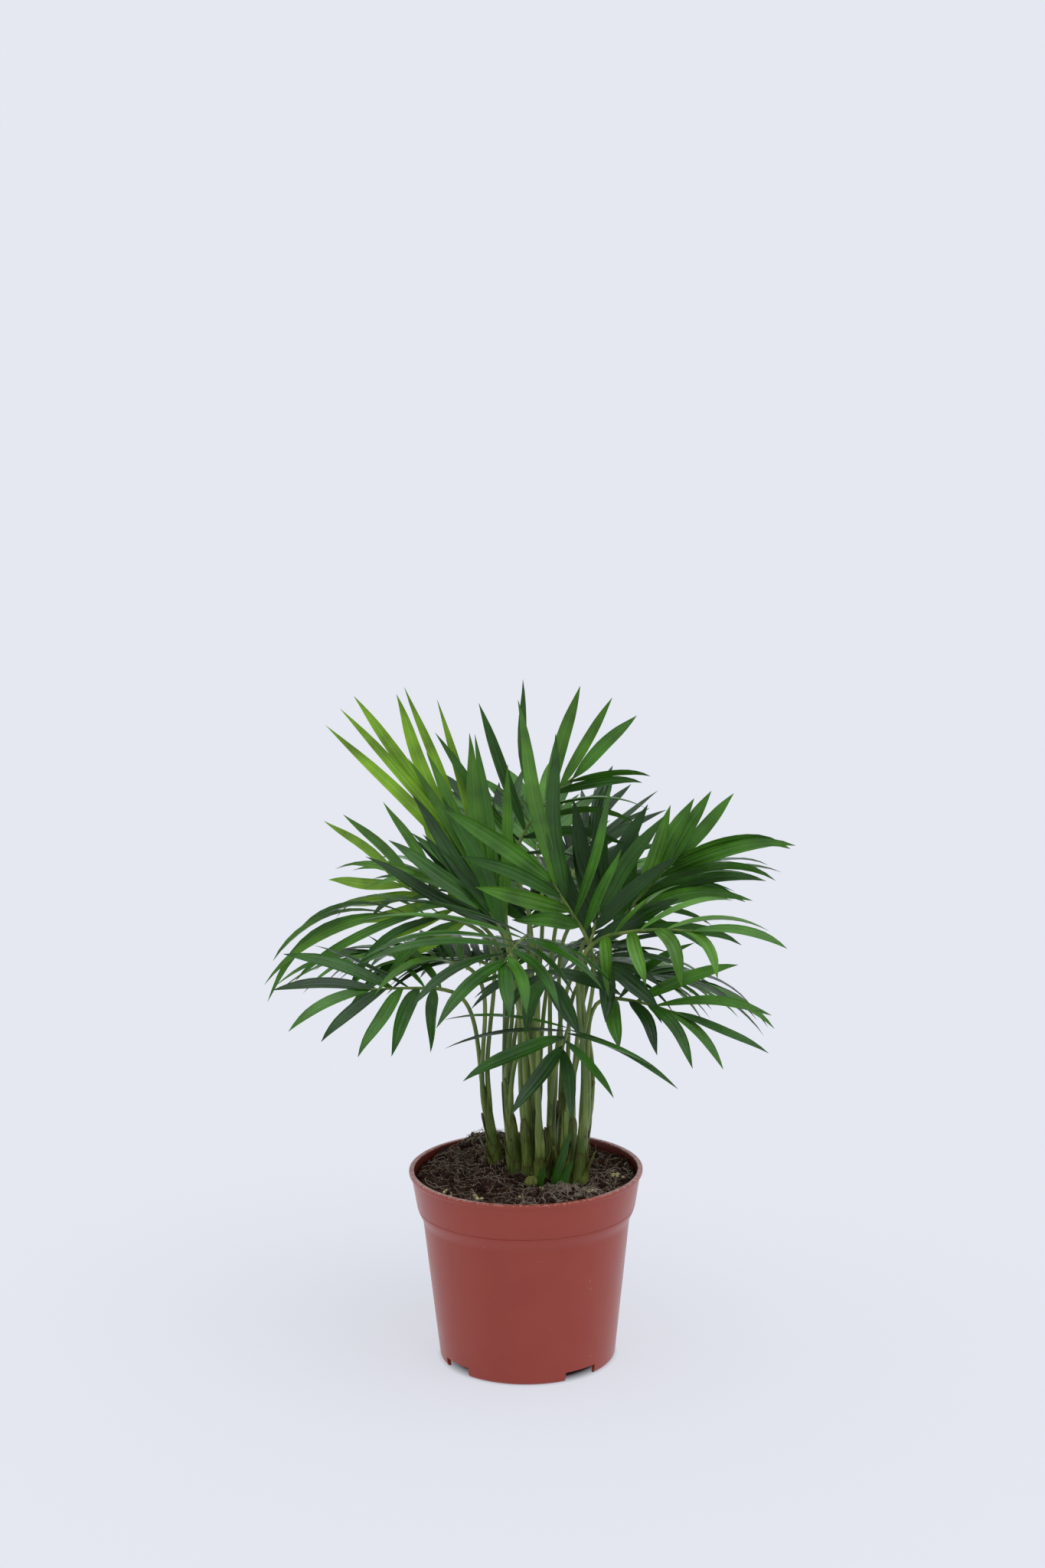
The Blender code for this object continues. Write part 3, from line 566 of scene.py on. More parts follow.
def with_between(leaflets):
    """The leaflets, with a finer one between each two neighbours of one side."""
    more = []
    for index, leaflet in enumerate(leaflets):
        for other in leaflets[index + 1:index + 4]:
            if leaflet[1].angle(other[1]) < radians(ONE_SIDE):
                root, aim, face, length, hang, width = [(mine + its) / 2 for mine, its in zip(leaflet, other)]
                more.append((root, aim.normalized(), face.normalized(), length * BETWEEN_LENGTH, hang,
                             width * BETWEEN_WIDTH))
                break
    return leaflets + more


for name in leaflets_of:
    if name in FILLED or "back" in name:
        leaflets_of[name] = with_between(leaflets_of[name])
print("leaflets with the finer ones:", sum(len(found) for found in leaflets_of.values()))

# %% [markdown]
# ## Geometry Nodes for what repeats
# Leaflets, stalks and grains repeat by the hundred, so each kind has one tree of nodes. It gets plain data, such
# as a line of points with a width at each, and gives back a finished mesh. Only the plain result is kept:
# instances and live modifiers are lost when a model is exported.

# %% Helpers for Geometry Nodes
def new_tree(name, **sizes):
    """A Geometry Nodes tree with a Geometry input and output, and an input for each named size."""
    tree = bpy.data.node_groups.new(name, "GeometryNodeTree")
    tree.interface.new_socket("Geometry", in_out="INPUT", socket_type="NodeSocketGeometry")
    for label, value in sizes.items():
        kind = "Material" if value is None else "Int" if isinstance(value, int) else "Float"
        socket = tree.interface.new_socket(label, in_out="INPUT", socket_type=f"NodeSocket{kind}")
        if value is not None:
            socket.default_value = value
    tree.interface.new_socket("Geometry", in_out="OUTPUT", socket_type="NodeSocketGeometry")
    return tree, tree.nodes.new("NodeGroupInput").outputs


def send_out(tree, given, shape):
    """Make the shape real, give it the tree's material and send it to the output."""
    real = add(tree, "RealizeInstances", (shape,))
    dressed = add(tree, "SetMaterial", {"Geometry": real, "Material": given["Material"]})
    wire(tree, tree.nodes.new("NodeGroupOutput"), (dressed,))
    print(tree.name, "tree nodes:", len(tree.nodes))
    return tree


def settle(thing):
    """Keep only the plain mesh that an object's modifiers make."""
    graph = bpy.context.evaluated_depsgraph_get()
    made = bpy.data.meshes.new_from_object(
        thing.evaluated_get(graph), preserve_all_data_layers=True, depsgraph=graph)
    thing.modifiers.clear()
    thing.data = made
    made.name = thing.name
    print(thing.name, "faces:", len(made.polygons))


def grow(name, mesh, tree, **sizes):
    """A plain mesh object: what the tree makes of the mesh with these sizes."""
    thing = placed(name, mesh)
    modifier = thing.modifiers.new("grow", "NODES")
    modifier.node_group = tree
    for socket in tree.interface.items_tree:
        if socket.name in sizes and socket.in_out == "INPUT":
            modifier[socket.identifier] = sizes[socket.name]
    settle(thing)
    return thing


def line_mesh(name, lines, **values):
    """A mesh of loose lines (millimetres), with a named value or vector at each point."""
    mesh = bpy.data.meshes.new(name)
    points, edges = [], []
    for line in lines:
        edges += [(len(points) + step, len(points) + step + 1) for step in range(len(line) - 1)]
        points += [point * MM for point in line]
    mesh.from_pydata(points, edges, [])
    for label, rows in values.items():
        flat = [value for row in rows for value in row]
        if isinstance(flat[0], Vector):
            layer = mesh.attributes.new(label, "FLOAT_VECTOR", "POINT")
            layer.data.foreach_set("vector", [part for value in flat for part in value])
        else:
            layer = mesh.attributes.new(label, "FLOAT", "POINT")
            layer.data.foreach_set("value", flat)
    return mesh


# %% [markdown]
# ### A blade along a line
# A palm leaflet is a strip with a shallow keel: its two halves rise a little from the middle rib. A small
# section is pushed along the middle line, with half the width and the upper side's way at each point. The
# section is a circle of eight points pressed almost flat, so the blade is closed and as thin as a leaf. The
# place across and along the blade is stored as a UV map for the veins.

# %% Tree for blades
SECTION_POINTS = 8
MARGIN_ANGLE = 1.0      # radians; only the blade's margin is sharper

tree, given = new_tree("blade", Fold=0.36, Thickness=0.03, Material=None)
facing = add(tree, "InputNamedAttribute", ("facing",), data_type="FLOAT_VECTOR")
half_width, across, along = [add(tree, "InputNamedAttribute", (label,), data_type="FLOAT")
                             for label in ("half_width", "across", "along")]
rail = add(tree, "MeshToCurve", (given["Geometry"],))
rail = add(tree, "SetCurveNormal", {"Curve": rail, "Normal": facing}, mode="FREE")
rail = add(tree, "StoreNamedAttribute", {
    "Geometry": rail, "Name": "along", "Value": add(tree, "SplineParameter").outputs["Factor"]})

ring = add(tree, "CurvePrimitiveCircle", {"Resolution": SECTION_POINTS, "Radius": 1.0})
place = add(tree, "SeparateXYZ", (add(tree, "InputPosition"),)).outputs
ring = add(tree, "StoreNamedAttribute", {"Geometry": ring, "Name": "across", "Value": place["X"]})
side = add(tree, "Math", (place["X"],), operation="ABSOLUTE")
keel = add(tree, "Math", (side, given["Fold"]), operation="MULTIPLY")
height = add(tree, "Math", (place["Y"], given["Thickness"], keel), operation="MULTIPLY_ADD")
pressed = add(tree, "CombineXYZ", (height, place["X"]))
section = add(tree, "SetPosition", {"Geometry": ring, "Position": pressed})

skin = add(tree, "CurveToMesh",
           {"Curve": rail, "Profile Curve": section, "Scale": half_width, "Fill Caps": True})
mapped = add(tree, "StoreNamedAttribute", {
    "Geometry": skin, "Name": "UVMap", "Value": add(tree, "CombineXYZ", (across, along))},
    data_type="FLOAT2", domain="CORNER")
margin = add(tree, "Compare", (add(tree, "InputMeshEdgeAngle").outputs["Unsigned Angle"], MARGIN_ANGLE))
soft = add(tree, "SetShadeSmooth", {"Geometry": mapped, "Selection": margin, "Shade Smooth": False},
           domain="EDGE")
blade_tree = send_out(tree, given, soft)

# %% [markdown]
# ### A round stalk along a line
# Stalks, ribs and root fibres are round and taper. The line is made a smooth spline through its points and cut
# into even steps, then a small ring follows it with the radius that is stored at each point.

# %% Tree for stalks
tree, given = new_tree("stalk", Steps=24, Sides=8, Material=None)
rail = add(tree, "MeshToCurve", (given["Geometry"],))
rail = add(tree, "CurveSplineType", {"Curve": rail}, spline_type="CATMULL_ROM")
rail = add(tree, "ResampleCurve", {"Curve": rail, "Count": given["Steps"]})
ring = add(tree, "CurvePrimitiveCircle", {"Resolution": given["Sides"], "Radius": 1.0})
radius = add(tree, "InputNamedAttribute", ("stalk_radius",), data_type="FLOAT")
skin = add(tree, "CurveToMesh", {"Curve": rail, "Profile Curve": ring, "Scale": radius, "Fill Caps": True})
stalk_tree = send_out(tree, given, add(tree, "SetShadeSmooth", (skin,)))

# %% [markdown]
# ### Grains on a surface
# Compost is crumbs of every size. The tree strews points over a surface by a fixed seed and sets a small
# twenty-sided stone on each, turned and stretched at random.

# %% Tree for grains
FULL_TURN = 6.28        # radians

tree, given = new_tree(
    "grains", Density=1000.0, Smallest=0.0005, Largest=0.002, Flatness=0.6, Seed=1, Material=None)
strewn = add(tree, "DistributePointsOnFaces",
             {"Mesh": given["Geometry"], "Density": given["Density"], "Seed": given["Seed"]})
stone = add(tree, "MeshIcoSphere", {"Radius": 1.0, "Subdivisions": 1})
turn = add(tree, "RandomValue", {"Min": (0, 0, 0), "Max": (FULL_TURN,) * 3, "Seed": given["Seed"]},
           data_type="FLOAT_VECTOR")
length = add(tree, "RandomValue", {2: given["Smallest"], 3: given["Largest"], "Seed": given["Seed"]},
             data_type="FLOAT")
narrow = add(tree, "Math", (length, given["Flatness"]), operation="MULTIPLY")
size = add(tree, "CombineXYZ", (length, narrow, narrow))
grain_tree = send_out(tree, given, add(tree, "InstanceOnPoints", {
    "Points": strewn, "Instance": stone, "Rotation": turn, "Scale": size}))

# %% [markdown]
# ## The pot
# Nursery pots are thin polypropylene, moulded in one shot: a lip, a deep collar that lets pots nest without
# sticking, a shoulder, a tapered wall, and a foot ring with notches that let water out.
# A moulded edge is never quite sharp, so the profile's corners are rounded first. Turning the profile round the
# axis gives the body, and a Boolean cuts the notches.

# %% Pot shape
POT_STEPS = 160
EDGE_ROUND = 0.45           # mm, radius of a moulded edge
LIP_SLOPE = 0.8             # height of the slope under the lip
GROOVE = (0.2, 1.5), (-0.4, 1.2)        # its upper edge and its floor, out from the collar's foot and up
SHOULDER_START = 0.8        # where the shoulder's soft curve starts, above the collar's foot
SHOULDER_RUN = 2.4          # how far it runs down the body
SHOULDER_STEPS = 8
SHOULDER_EDGE = -0.12       # the curve starts a little steep
FOOT_SLOPE, FOOT_SLOPE_HEIGHT = 0.9, 1.3
BOSS_SLOPE = 0.8
NOTCH_REACH = 16.0
SHARP = radians(40)
HAIR = 0.01                 # mm


def built(name, build):
    """A smooth mesh object of what was built, with its faces outward."""
    bmesh.ops.recalc_face_normals(build, faces=build.faces)
    mesh = bpy.data.meshes.new(name)
    build.to_mesh(mesh)
    build.free()
    mesh.shade_smooth()
    return placed(name, mesh)


def wall_radius(height):
    """Outer radius of the pot at a height on its body."""
    return FOOT_RADIUS + (BODY_TOP_RADIUS - FOOT_RADIUS) * min(height, body_top) / body_top


def inner_radius(height):
    """Inner radius of the collar."""
    flare = (COLLAR_TOP_RADIUS - COLLAR_FOOT_RADIUS) * (height - shoulder) / COLLAR_HEIGHT
    return COLLAR_FOOT_RADIUS - WALL + flare


def rounded(profile, radius):
    """The profile with each inner corner replaced by a short arc."""
    smooth = [profile[0]]
    for before, corner, after in zip(profile, profile[1:], profile[2:]):
        before, corner, after = Vector(before), Vector(corner), Vector(after)
        back, on = before - corner, after - corner
        reach = min(radius, back.length * 0.4, on.length * 0.4)
        first, last = corner + back.normalized() * reach, corner + on.normalized() * reach
        smooth += [tuple(first.lerp(corner, t).lerp(corner.lerp(last, t), t)) for t in (0.0, 0.33, 0.67, 1.0)]
    return smooth + [profile[-1]]


shoulder = POT_HEIGHT - COLLAR_HEIGHT
body_top = shoulder - SHOULDER_HEIGHT
inner_floor = FLOOR_RISE + FLOOR_THICK
lip = POT_HEIGHT - LIP_HEIGHT
foot = FOOT_RADIUS - FOOT_SLOPE
shoulder_curve = []
for step in range(SHOULDER_STEPS + 1):
    t = step / SHOULDER_STEPS
    height = shoulder + SHOULDER_START - t * (SHOULDER_HEIGHT + SHOULDER_RUN)
    inward = soft_step(SHOULDER_EDGE, 1, t)
    shoulder_curve.append((COLLAR_FOOT_RADIUS + (wall_radius(height) - COLLAR_FOOT_RADIUS) * inward, height))
pot_profile = (
    (0, inner_floor), (wall_radius(inner_floor) - WALL, inner_floor), (BODY_TOP_RADIUS - WALL, body_top),
    (COLLAR_FOOT_RADIUS - WALL, shoulder), (COLLAR_TOP_RADIUS - WALL, POT_HEIGHT), (RIM_RADIUS, POT_HEIGHT),
    (RIM_RADIUS, lip), (COLLAR_TOP_RADIUS, lip - LIP_SLOPE),
    *[(COLLAR_FOOT_RADIUS + out, shoulder + up) for out, up in GROOVE], *shoulder_curve,
    (wall_radius(FOOT_SLOPE_HEIGHT), FOOT_SLOPE_HEIGHT), (foot, 0), (foot - WALL, 0),
    (FOOT_RADIUS - WALL, FLOOR_RISE), (BOSS_RADIUS, FLOOR_RISE), (BOSS_RADIUS - BOSS_SLOPE, 0), (0, 0),
)
build = bmesh.new()
verts = [build.verts.new((radius * MM, 0, height * MM)) for radius, height in rounded(pot_profile, EDGE_ROUND)]
edges = [build.edges.new(pair) for pair in zip(verts, verts[1:])]
bmesh.ops.spin(build, geom=verts + edges, axis=(0, 0, 1), cent=(0, 0, 0), angle=2 * pi, steps=POT_STEPS)
bmesh.ops.remove_doubles(build, verts=build.verts, dist=HAIR * MM)
pot = built("pot_shell", build)

blocks = bmesh.new()
for number in range(NOTCH_COUNT):
    bearing = NOTCH_FIRST + 360 / NOTCH_COUNT * number - 90
    size = Matrix.Diagonal((NOTCH_REACH * MM, NOTCH_WIDTH * MM, 2 * NOTCH_HEIGHT * MM, 1))
    place = Matrix.Translation(unit(bearing, 0) * FOOT_RADIUS * MM)
    bmesh.ops.create_cube(blocks, size=1, matrix=place @ Matrix.Rotation(radians(bearing), 4, "Z") @ size)
cutter = built("notches", blocks)
pot.modifiers.new("notches", "BOOLEAN").object = cutter
settle(pot)
bpy.data.objects.remove(cutter)
pot.data.set_sharp_from_angle(angle=SHARP)
inner_wall = pot.data.attributes.new("inner wall", "FLOAT", "POINT").data
for vert in pot.data.vertices:
    height = vert.co.z / MM
    inside = hypot(vert.co.x, vert.co.y) / MM < inner_radius(height) + WALL / 2
    inner_wall[vert.index].value = float(inside and shoulder <= height < POT_HEIGHT - HAIR)

# %% [markdown]
# ### Moulded polypropylene
# The plastic is coloured through and comes from a polished steel mould, so it is smooth with a soft gloss: pale
# surroundings show in it where the wall turns away. Its red is dull and a little uneven.
# Damp compost leaves specks of lime on it, well under a millimetre, strewn by a cell pattern. Inside the rim the
# wall has painted shade, deeper towards the compost: a value at each corner tells the inner wall.
# Pale dust lies on the lip in patches.

# %% Pot material
POT_RED, POT_RED_WORN = "#993323", "#9F3C2A"
LIME = "#D0A894"
# painted shade for the inner wall, a near-black brown
INNER_SHADE_COLOUR = "#20110C"
CLOUD = 22.0 * MM, (0.2, 0.8)                   # uneven colour: size, and the noise from one red to the other
RIPPLE = 1.6 * MM, (0.45, 0.65), (0.05, 0.65)   # waviness left by the mould; it also makes the dust patchy
RIPPLE_DEEP = 0.05 * MM
GLOSS = (0.3, 0.7), (0.25, 0.34)                # from the noise of the clouds to roughness
SPECK_APART = 6.5 * MM      # between cells that may hold a speck
SPECK_LOTS, SPECK_SIZE = (0.45, 1.0), 0.075     # cells with a lot above the first hold one, up to this size
SPECK_SHARE = 0.5
INNER_SHADE_SHARE = 0.35, 0.85          # how strongly the inner wall is painted with shade, at the rim and lower down
INNER_SHADE_DEEP = 7.0            # mm below the rim, where the painted shade is full
DUST_DEEP = 0.9             # mm

plastic, tree, shader, coords = new_material("moulded polypropylene, terracotta red", POT_RED, 0.4, 1.49)
cloud, uneven = patches(tree, coords, *CLOUD, Detail=4.0)
ripple, patchy = patches(tree, coords, *RIPPLE)
cells = add(tree, "TexVoronoi", {"Vector": coords, "Scale": 1 / SPECK_APART})
lot = add(tree, "SeparateColor", (cells.outputs["Color"],)).outputs["Red"]
width = add(tree, "MapRange", (lot, *SPECK_LOTS, 0.0, SPECK_SIZE))
speck = add(tree, "Math", (cells.outputs["Distance"], width), operation="LESS_THAN")
faint = add(tree, "Math", (speck, SPECK_SHARE), operation="MULTIPLY")
height = add(tree, "SeparateXYZ", (coords,)).outputs["Z"]
# painted shade on the inner wall above the compost, deeper lower down
on_inner_wall = add(tree, "Attribute", attribute_name="inner wall").outputs["Fac"]
low = add(tree, "MapRange", (height, POT_HEIGHT * MM, (POT_HEIGHT - INNER_SHADE_DEEP) * MM, *INNER_SHADE_SHARE))
inner_shade = add(tree, "Math", (on_inner_wall, low), operation="MULTIPLY")
on_lip = add(tree, "MapRange", (height, (POT_HEIGHT - DUST_DEEP) * MM, POT_HEIGHT * MM))
dust = add(tree, "Math", (on_lip, patchy), operation="MULTIPLY")
red = coated(tree, POT_RED, (uneven, POT_RED_WORN), (faint, LIME), (inner_shade, INNER_SHADE_COLOUR), (dust, LIME))
gloss = add(tree, "MapRange", (cloud, *GLOSS[0], *GLOSS[1]))
relief = add(tree, "Bump", {"Height": ripple, "Strength": 0.12, "Distance": RIPPLE_DEEP})
wire(tree, shader, {"Base Color": red, "Roughness": gloss, "Normal": relief})

pot.data.materials.clear()
pot.data.materials.append(plastic)
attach(pot, "root")
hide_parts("pot")
print("pot dressed:", plastic.name)

# %% [markdown]
# ## The compost
# Potting compost is peat and coir: dark crumbs, red-brown chips of bark and a felt of pale rootlets, heaped a
# little at the back left where the plant was set in.
# The heap is a disc of rings whose height follows the source's mounds with finer noise on top. Over it the grain
# tree strews four kinds of crumbs, and thin stalks make the rootlets.

# %% Ground
GROUND_RINGS = 46
GROUND_STEPS = 150
GROUND_INSET = 0.4          # air between compost and wall
GROUND_SKIRT = 14.0         # depth of the disc's side, down the wall
CRUMB_RELIEF = ((14.0, 1.6), (6.0, 2.0), (2.5, 0.9))      # size and height of each layer of noise


def ground_height(x, y):
    """Top of the compost: the source's mounds with three finer layers of noise."""
    crest = unit(MOUND_BEARING, 0) * MOUND_REACH
    mound = SOIL_MOUND * exp(-((x - crest.x) ** 2 + (y - crest.y) ** 2) / MOUND_SPREAD ** 2)
    lumps = sin(x * 0.31 + 1.0) * cos(y * 0.27) + 0.5 * sin(x * 0.7 - y * 0.6)
    fine = sum(height * noise.noise(Vector((x, y, 7.0)) / size) for size, height in CRUMB_RELIEF)
    return SOIL_TOP + mound + LUMP_HEIGHT * lumps + fine


edge = inner_radius(SOIL_TOP) - GROUND_INSET
low = SOIL_TOP - GROUND_SKIRT
build = bmesh.new()
centre = build.verts.new((0, 0, ground_height(0, 0) * MM))
rings = []
for ring in range(1, GROUND_RINGS + 2):
    top = ring <= GROUND_RINGS
    radius = edge * ring / GROUND_RINGS if top else inner_radius(low) - GROUND_INSET
    spots = [unit(360 * step / GROUND_STEPS, 0) * radius for step in range(GROUND_STEPS)]
    rings.append([build.verts.new((x * MM, y * MM, (ground_height(x, y) if top else low) * MM))
                  for x, y, _ in spots])
for step in range(GROUND_STEPS):
    build.faces.new((centre, rings[0][step - 1], rings[0][step]))
    for inner, outer in zip(rings, rings[1:]):
        build.faces.new((inner[step - 1], outer[step - 1], outer[step], inner[step]))
build.faces.new(rings[-1])
ground = built("compost", build)
print("compost faces:", len(ground.data.polygons))

# %% [markdown]
# ### Peat, bark and lime
# Moist peat is almost black-brown and has no gloss. A crumbly look needs colour and relief at two sizes: clods
# of a few millimetres and grit of half a millimetre. The crumbs take colours of their own with a little mottle,
# so that single grains show against each other.
# The clods are lighter on their tops and darker in their hollows: partly the peat's own uneven colour, partly
# painted shade.

# %% Compost materials
PEAT_DARK, PEAT_LIGHT = "#1D120C", "#6C4E3D"
CLODS = 4.0 * MM, (0.35, 0.72)
GRIT = 0.7 * MM
CLODS_DEEP, GRIT_DEEP, PEAT_RELIEF = 1.0 * MM, 0.4 * MM, 0.8
MOTTLE = 2 * GRIT, (0.3, 0.7), (0.55, 1.35)     # size, noise, and the brightness that it gives
CRUMB_COLOURS = (
    ("peat crumbs", "#3A251B"), ("peat clods", "#2E1D15"), ("coir crumbs", "#94785F"),
    ("bark chips, red-brown", "#63362A"), ("feed grains, pale yellow", "#D6CC92"),
    ("palm seed, olive green", "#7F8645"),
)

peat, tree, shader, coords = new_material("moist peat compost", PEAT_DARK, 0.95, 1.4, mirror=DULL)
# lighter on the clods' tops, darker in their hollows: partly uneven peat, partly painted shade
clods, shade = patches(tree, coords, *CLODS, Detail=6.0, Roughness=0.7)
grit = add(tree, "TexNoise", {"Vector": coords, "Scale": 1 / GRIT, "Detail": 3.0})
coarse = add(tree, "Bump", {"Height": clods, "Strength": PEAT_RELIEF, "Distance": CLODS_DEEP})
rough = add(tree, "Bump", {"Height": grit, "Strength": PEAT_RELIEF, "Distance": GRIT_DEEP, "Normal": coarse})
wire(tree, shader, {"Base Color": coated(tree, PEAT_DARK, (shade, PEAT_LIGHT)), "Normal": rough})
ground.data.materials.append(peat)
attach(ground, "root")
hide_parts("soil")


def crumb_material(name, code):
    """A dull crumb of one colour with a little mottle."""
    made, tree, shader, coords = new_material(name, code, 0.9, 1.4, mirror=DULL)
    _, light = patches(tree, coords, *MOTTLE)
    wire(tree, shader, {"Base Color": add(tree, "HueSaturation", {"Color": code, "Value": light})})
    return made


crumb_materials = [crumb_material(*row) for row in CRUMB_COLOURS]
print("compost materials:", len(crumb_materials) + 1)

# %% [markdown]
# ### Crumbs, chips and feed grains
# Only the top of the heap gets crumbs, so the strewing surface is a copy of its upper faces. Each kind has its
# own count per square metre, size and stretch.

# %% Crumbs
CRUMB_KINDS = (      # name, per square metre, smallest and largest half length in mm, narrowness
    ("crumbs_peat", 300000, 0.35, 1.3, 0.7),
    ("clods_peat", 18000, 1.2, 3.2, 0.75),
    ("crumbs_coir", 34000, 0.7, 3.0, 0.07),
    ("chips_bark", 24000, 0.6, 2.2, 0.4),
)
UPWARD = 0.3                # least z of an upper face's normal
FIRST_SEED = 3

build = bmesh.new()
build.from_mesh(ground.data)
spare = [face for face in build.faces if face.normal.z < UPWARD or len(face.verts) > 4]
bmesh.ops.delete(build, geom=spare, context="FACES")
top_of_ground = bpy.data.meshes.new("strewn")
build.to_mesh(top_of_ground)
build.free()
for seed, (kind, coat) in enumerate(zip(CRUMB_KINDS, crumb_materials), FIRST_SEED):
    name, count, small, large, narrow = kind
    crumbs = grow(name, top_of_ground, grain_tree, Density=float(count), Smallest=small * MM,
                  Largest=large * MM, Flatness=narrow, Seed=seed, Material=coat)
    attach(crumbs, "root")

# %% [markdown]
# ### Feed grains and a seed
# Slow-release feed lies in little heaps of pale yellow-green grains near the rim, and one palm seed still sits
# at the foot of the canes. They are small stones, pressed and turned by chance and partly sunk in the compost.

# %% Grains and seed
GRAIN_HEAPS = (      # x, y, reach, count
    (46, -3, 3.0, 12), (51, -10, 2.2, 8), (-39, -31, 2.6, 6), (-24, -37, 3.6, 9), (-3, -35, 2.8, 6),
    (6, -20, 3.0, 4), (33, -30, 3.0, 4),
)
GRAIN_SIZES = (0.4, 1.1)    # mm, radius
SEED = (2.7, -15.6, 4.0)    # x, y, radius
PRESSED = (0.65, 1)         # how flat a stone is, across each way
LIFTED = 0.65               # how much of its radius a stone's middle is above the ground

chance = random.Random("grains")
stones = [SEED]
for x, y, reach, count in GRAIN_HEAPS:
    for _ in range(count):
        spot = Vector((x, y, 0)) + unit(chance.uniform(0, 360), 0) * reach * chance.random() ** 0.5
        stones.append((spot.x, spot.y, chance.uniform(*GRAIN_SIZES)))
build = bmesh.new()
for x, y, radius in stones:
    size = Matrix.Diagonal((radius, radius * chance.uniform(*PRESSED), radius * chance.uniform(*PRESSED), 1))
    turn = Matrix.Rotation(chance.uniform(0, FULL_TURN), 4, unit(chance.uniform(0, 360), chance.uniform(0, 90)))
    place = Matrix.Translation(Vector((x, y, ground_height(x, y) + radius * LIFTED)))
    bmesh.ops.create_icosphere(build, subdivisions=2, radius=1, matrix=Matrix.Scale(MM, 4) @ place @ turn @ size)
grains = built("grains_feed", build)
for coat in crumb_materials[-2:]:
    grains.data.materials.append(coat)
for face in grains.data.polygons[:len(grains.data.polygons) // len(stones)]:
    face.material_index = 1
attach(grains, "root")
print("grains and seed:", len(stones))

# %% [markdown]
# ### Rootlets
# Pale rootlets lie over the compost like felt: thin, curled, thickest on the heap and in front of the canes.
# Each one wanders: every step turns a little from the last and stays near the ground, and a few stand up as
# loops. The thinnest real ones are a twentieth of a millimetre; here they are about three times that, so that
# they show.

# %% Rootlets
ROOT_PATCHES = (      # x, y, reach, count, and the least paleness from 0 to 1
    (0, 0, 53, 330, 0.0), (22, -27, 9, 210, 0.6), (-24, 18, 27, 240, 0.1), (44, -2, 13, 90, 0.2),
    (-8, -36, 24, 110, 0.1), (-16, 46, 13, 70, 0.2), (40, 28, 14, 40, 0.2),
)
ROOT_STEPS = 9
ROOT_LEAST = 4              # points; a shorter one is left out
ROOT_TURN = 42              # degrees at each step
ROOT_WAVE = 0.8             # radians at each step, of the rise and fall
WALL_AIR = 1.0              # between a rootlet's points and the edge of the compost
ROOT_STRIDE, ROOT_HOVER, ROOT_THICK = (0.7, 2.4), (0.1, 0.7), (0.09, 0.17)      # mm; thickness as a radius
LOOPS, LOOP_RISE, FLAT_RISE = 0.16, (1.0, 3.4), 0.5         # share that stands up, and how high each kind goes
ROOT_DARK, ROOT_MID, ROOT_PALE = "#4A3124", "#8D7A5E", "#DCCBB4"
FIBRE_MOTTLE = 1.6 * MM, (0.3, 0.7), (0.6, 1.2)

chance = random.Random("rootlets")
lines, radii, tones = [], [], []
for x, y, reach, count, least in ROOT_PATCHES:
    for _ in range(count):
        spot = Vector((x, y, 0)) + unit(chance.uniform(0, 360), 0) * reach * chance.random() ** 0.6
        bearing = chance.uniform(0, 360)
        stride = chance.uniform(*ROOT_STRIDE)
        hover = chance.uniform(*ROOT_HOVER)
        rear = chance.uniform(*LOOP_RISE) if chance.random() < LOOPS else FLAT_RISE
        line = []
        for step in range(ROOT_STEPS):
            if spot.length > edge - WALL_AIR:
                break
            lift = hover + rear * abs(sin(step * ROOT_WAVE + bearing))
            line.append(Vector((spot.x, spot.y, ground_height(spot.x, spot.y) + lift)))
            bearing += chance.uniform(-ROOT_TURN, ROOT_TURN)
            spot = spot + unit(bearing, 0) * stride
        if len(line) >= ROOT_LEAST:
            lines.append(line)
            radii.append([chance.uniform(*ROOT_THICK) * MM] * len(line))
            tones.append([least + (1 - least) * chance.random() ** 2] * len(line))
root_skin, tree, shader, coords = new_material("dry rootlets", ROOT_MID, 0.85, 1.4, mirror=DULL)
paleness = add(tree, "Attribute", attribute_name="pale").outputs["Fac"]
_, light = patches(tree, coords, *FIBRE_MOTTLE)
toned = add(tree, "HueSaturation", {"Color": coated(tree, ROOT_DARK, (paleness, ROOT_PALE)), "Value": light})
wire(tree, shader, {"Base Color": toned})
rootlets = grow("rootlets", line_mesh("rootlets", lines, stalk_radius=radii, pale=tones), stalk_tree,
                Steps=12, Sides=3, Material=root_skin)
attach(rootlets, "root")

# %% [markdown]
# ## The canes
# What looks like a cane on a young palm is mostly leaf bases: each leaf's foot wraps the stem as a tube, and old
# tubes split and end in a slanting lip. So the surface steps in at every lip, from the outermost sheath at the
# foot to the innermost at the top, where the stalks come out.
# The cane itself is a tapered tube. Each old leaf base is a sleeve round it: a thin closed skin from the foot up
# to a lip that rises to a tongue on one side. Dryness towards the lip is stored for the material. The loose
# scales at the foot are sleeves too, with narrow tongues that lean out.

# %% Cane shapes
CANE_SIDES = 20
ANGLES = [2 * pi * step / CANE_SIDES for step in range(CANE_SIDES)]
CORE_STEPS = 30
CANE_SUNK = 5.0             # below the compost
CANE_CROWN = 15.0           # above the solid's top, where the last sheath closes round the stalks
CANE_TAPER = 0.30           # part of its thickness that a cane loses up to its top
CANE_FOOT, FOOT_RUN = 0.12, 7.0         # how much thicker the foot is, and over what height that fades
CROWN_RADIUS, CROWN_START = 1.0, 4.0    # the crown narrows from this far below the solid's top
BULGE, BULGE_ROUND, BULGE_LONG = 0.12, 2.2, 14.0
SLEEVE_STEPS = 12
SLEEVE_THICK = 0.34
CORE_LESS = SLEEVE_THICK * 1.6
SLEEVES = ((0.2, 9.0), (0.46, 15.0), (0.74, 20.0))      # share of the length, rise of the tongue
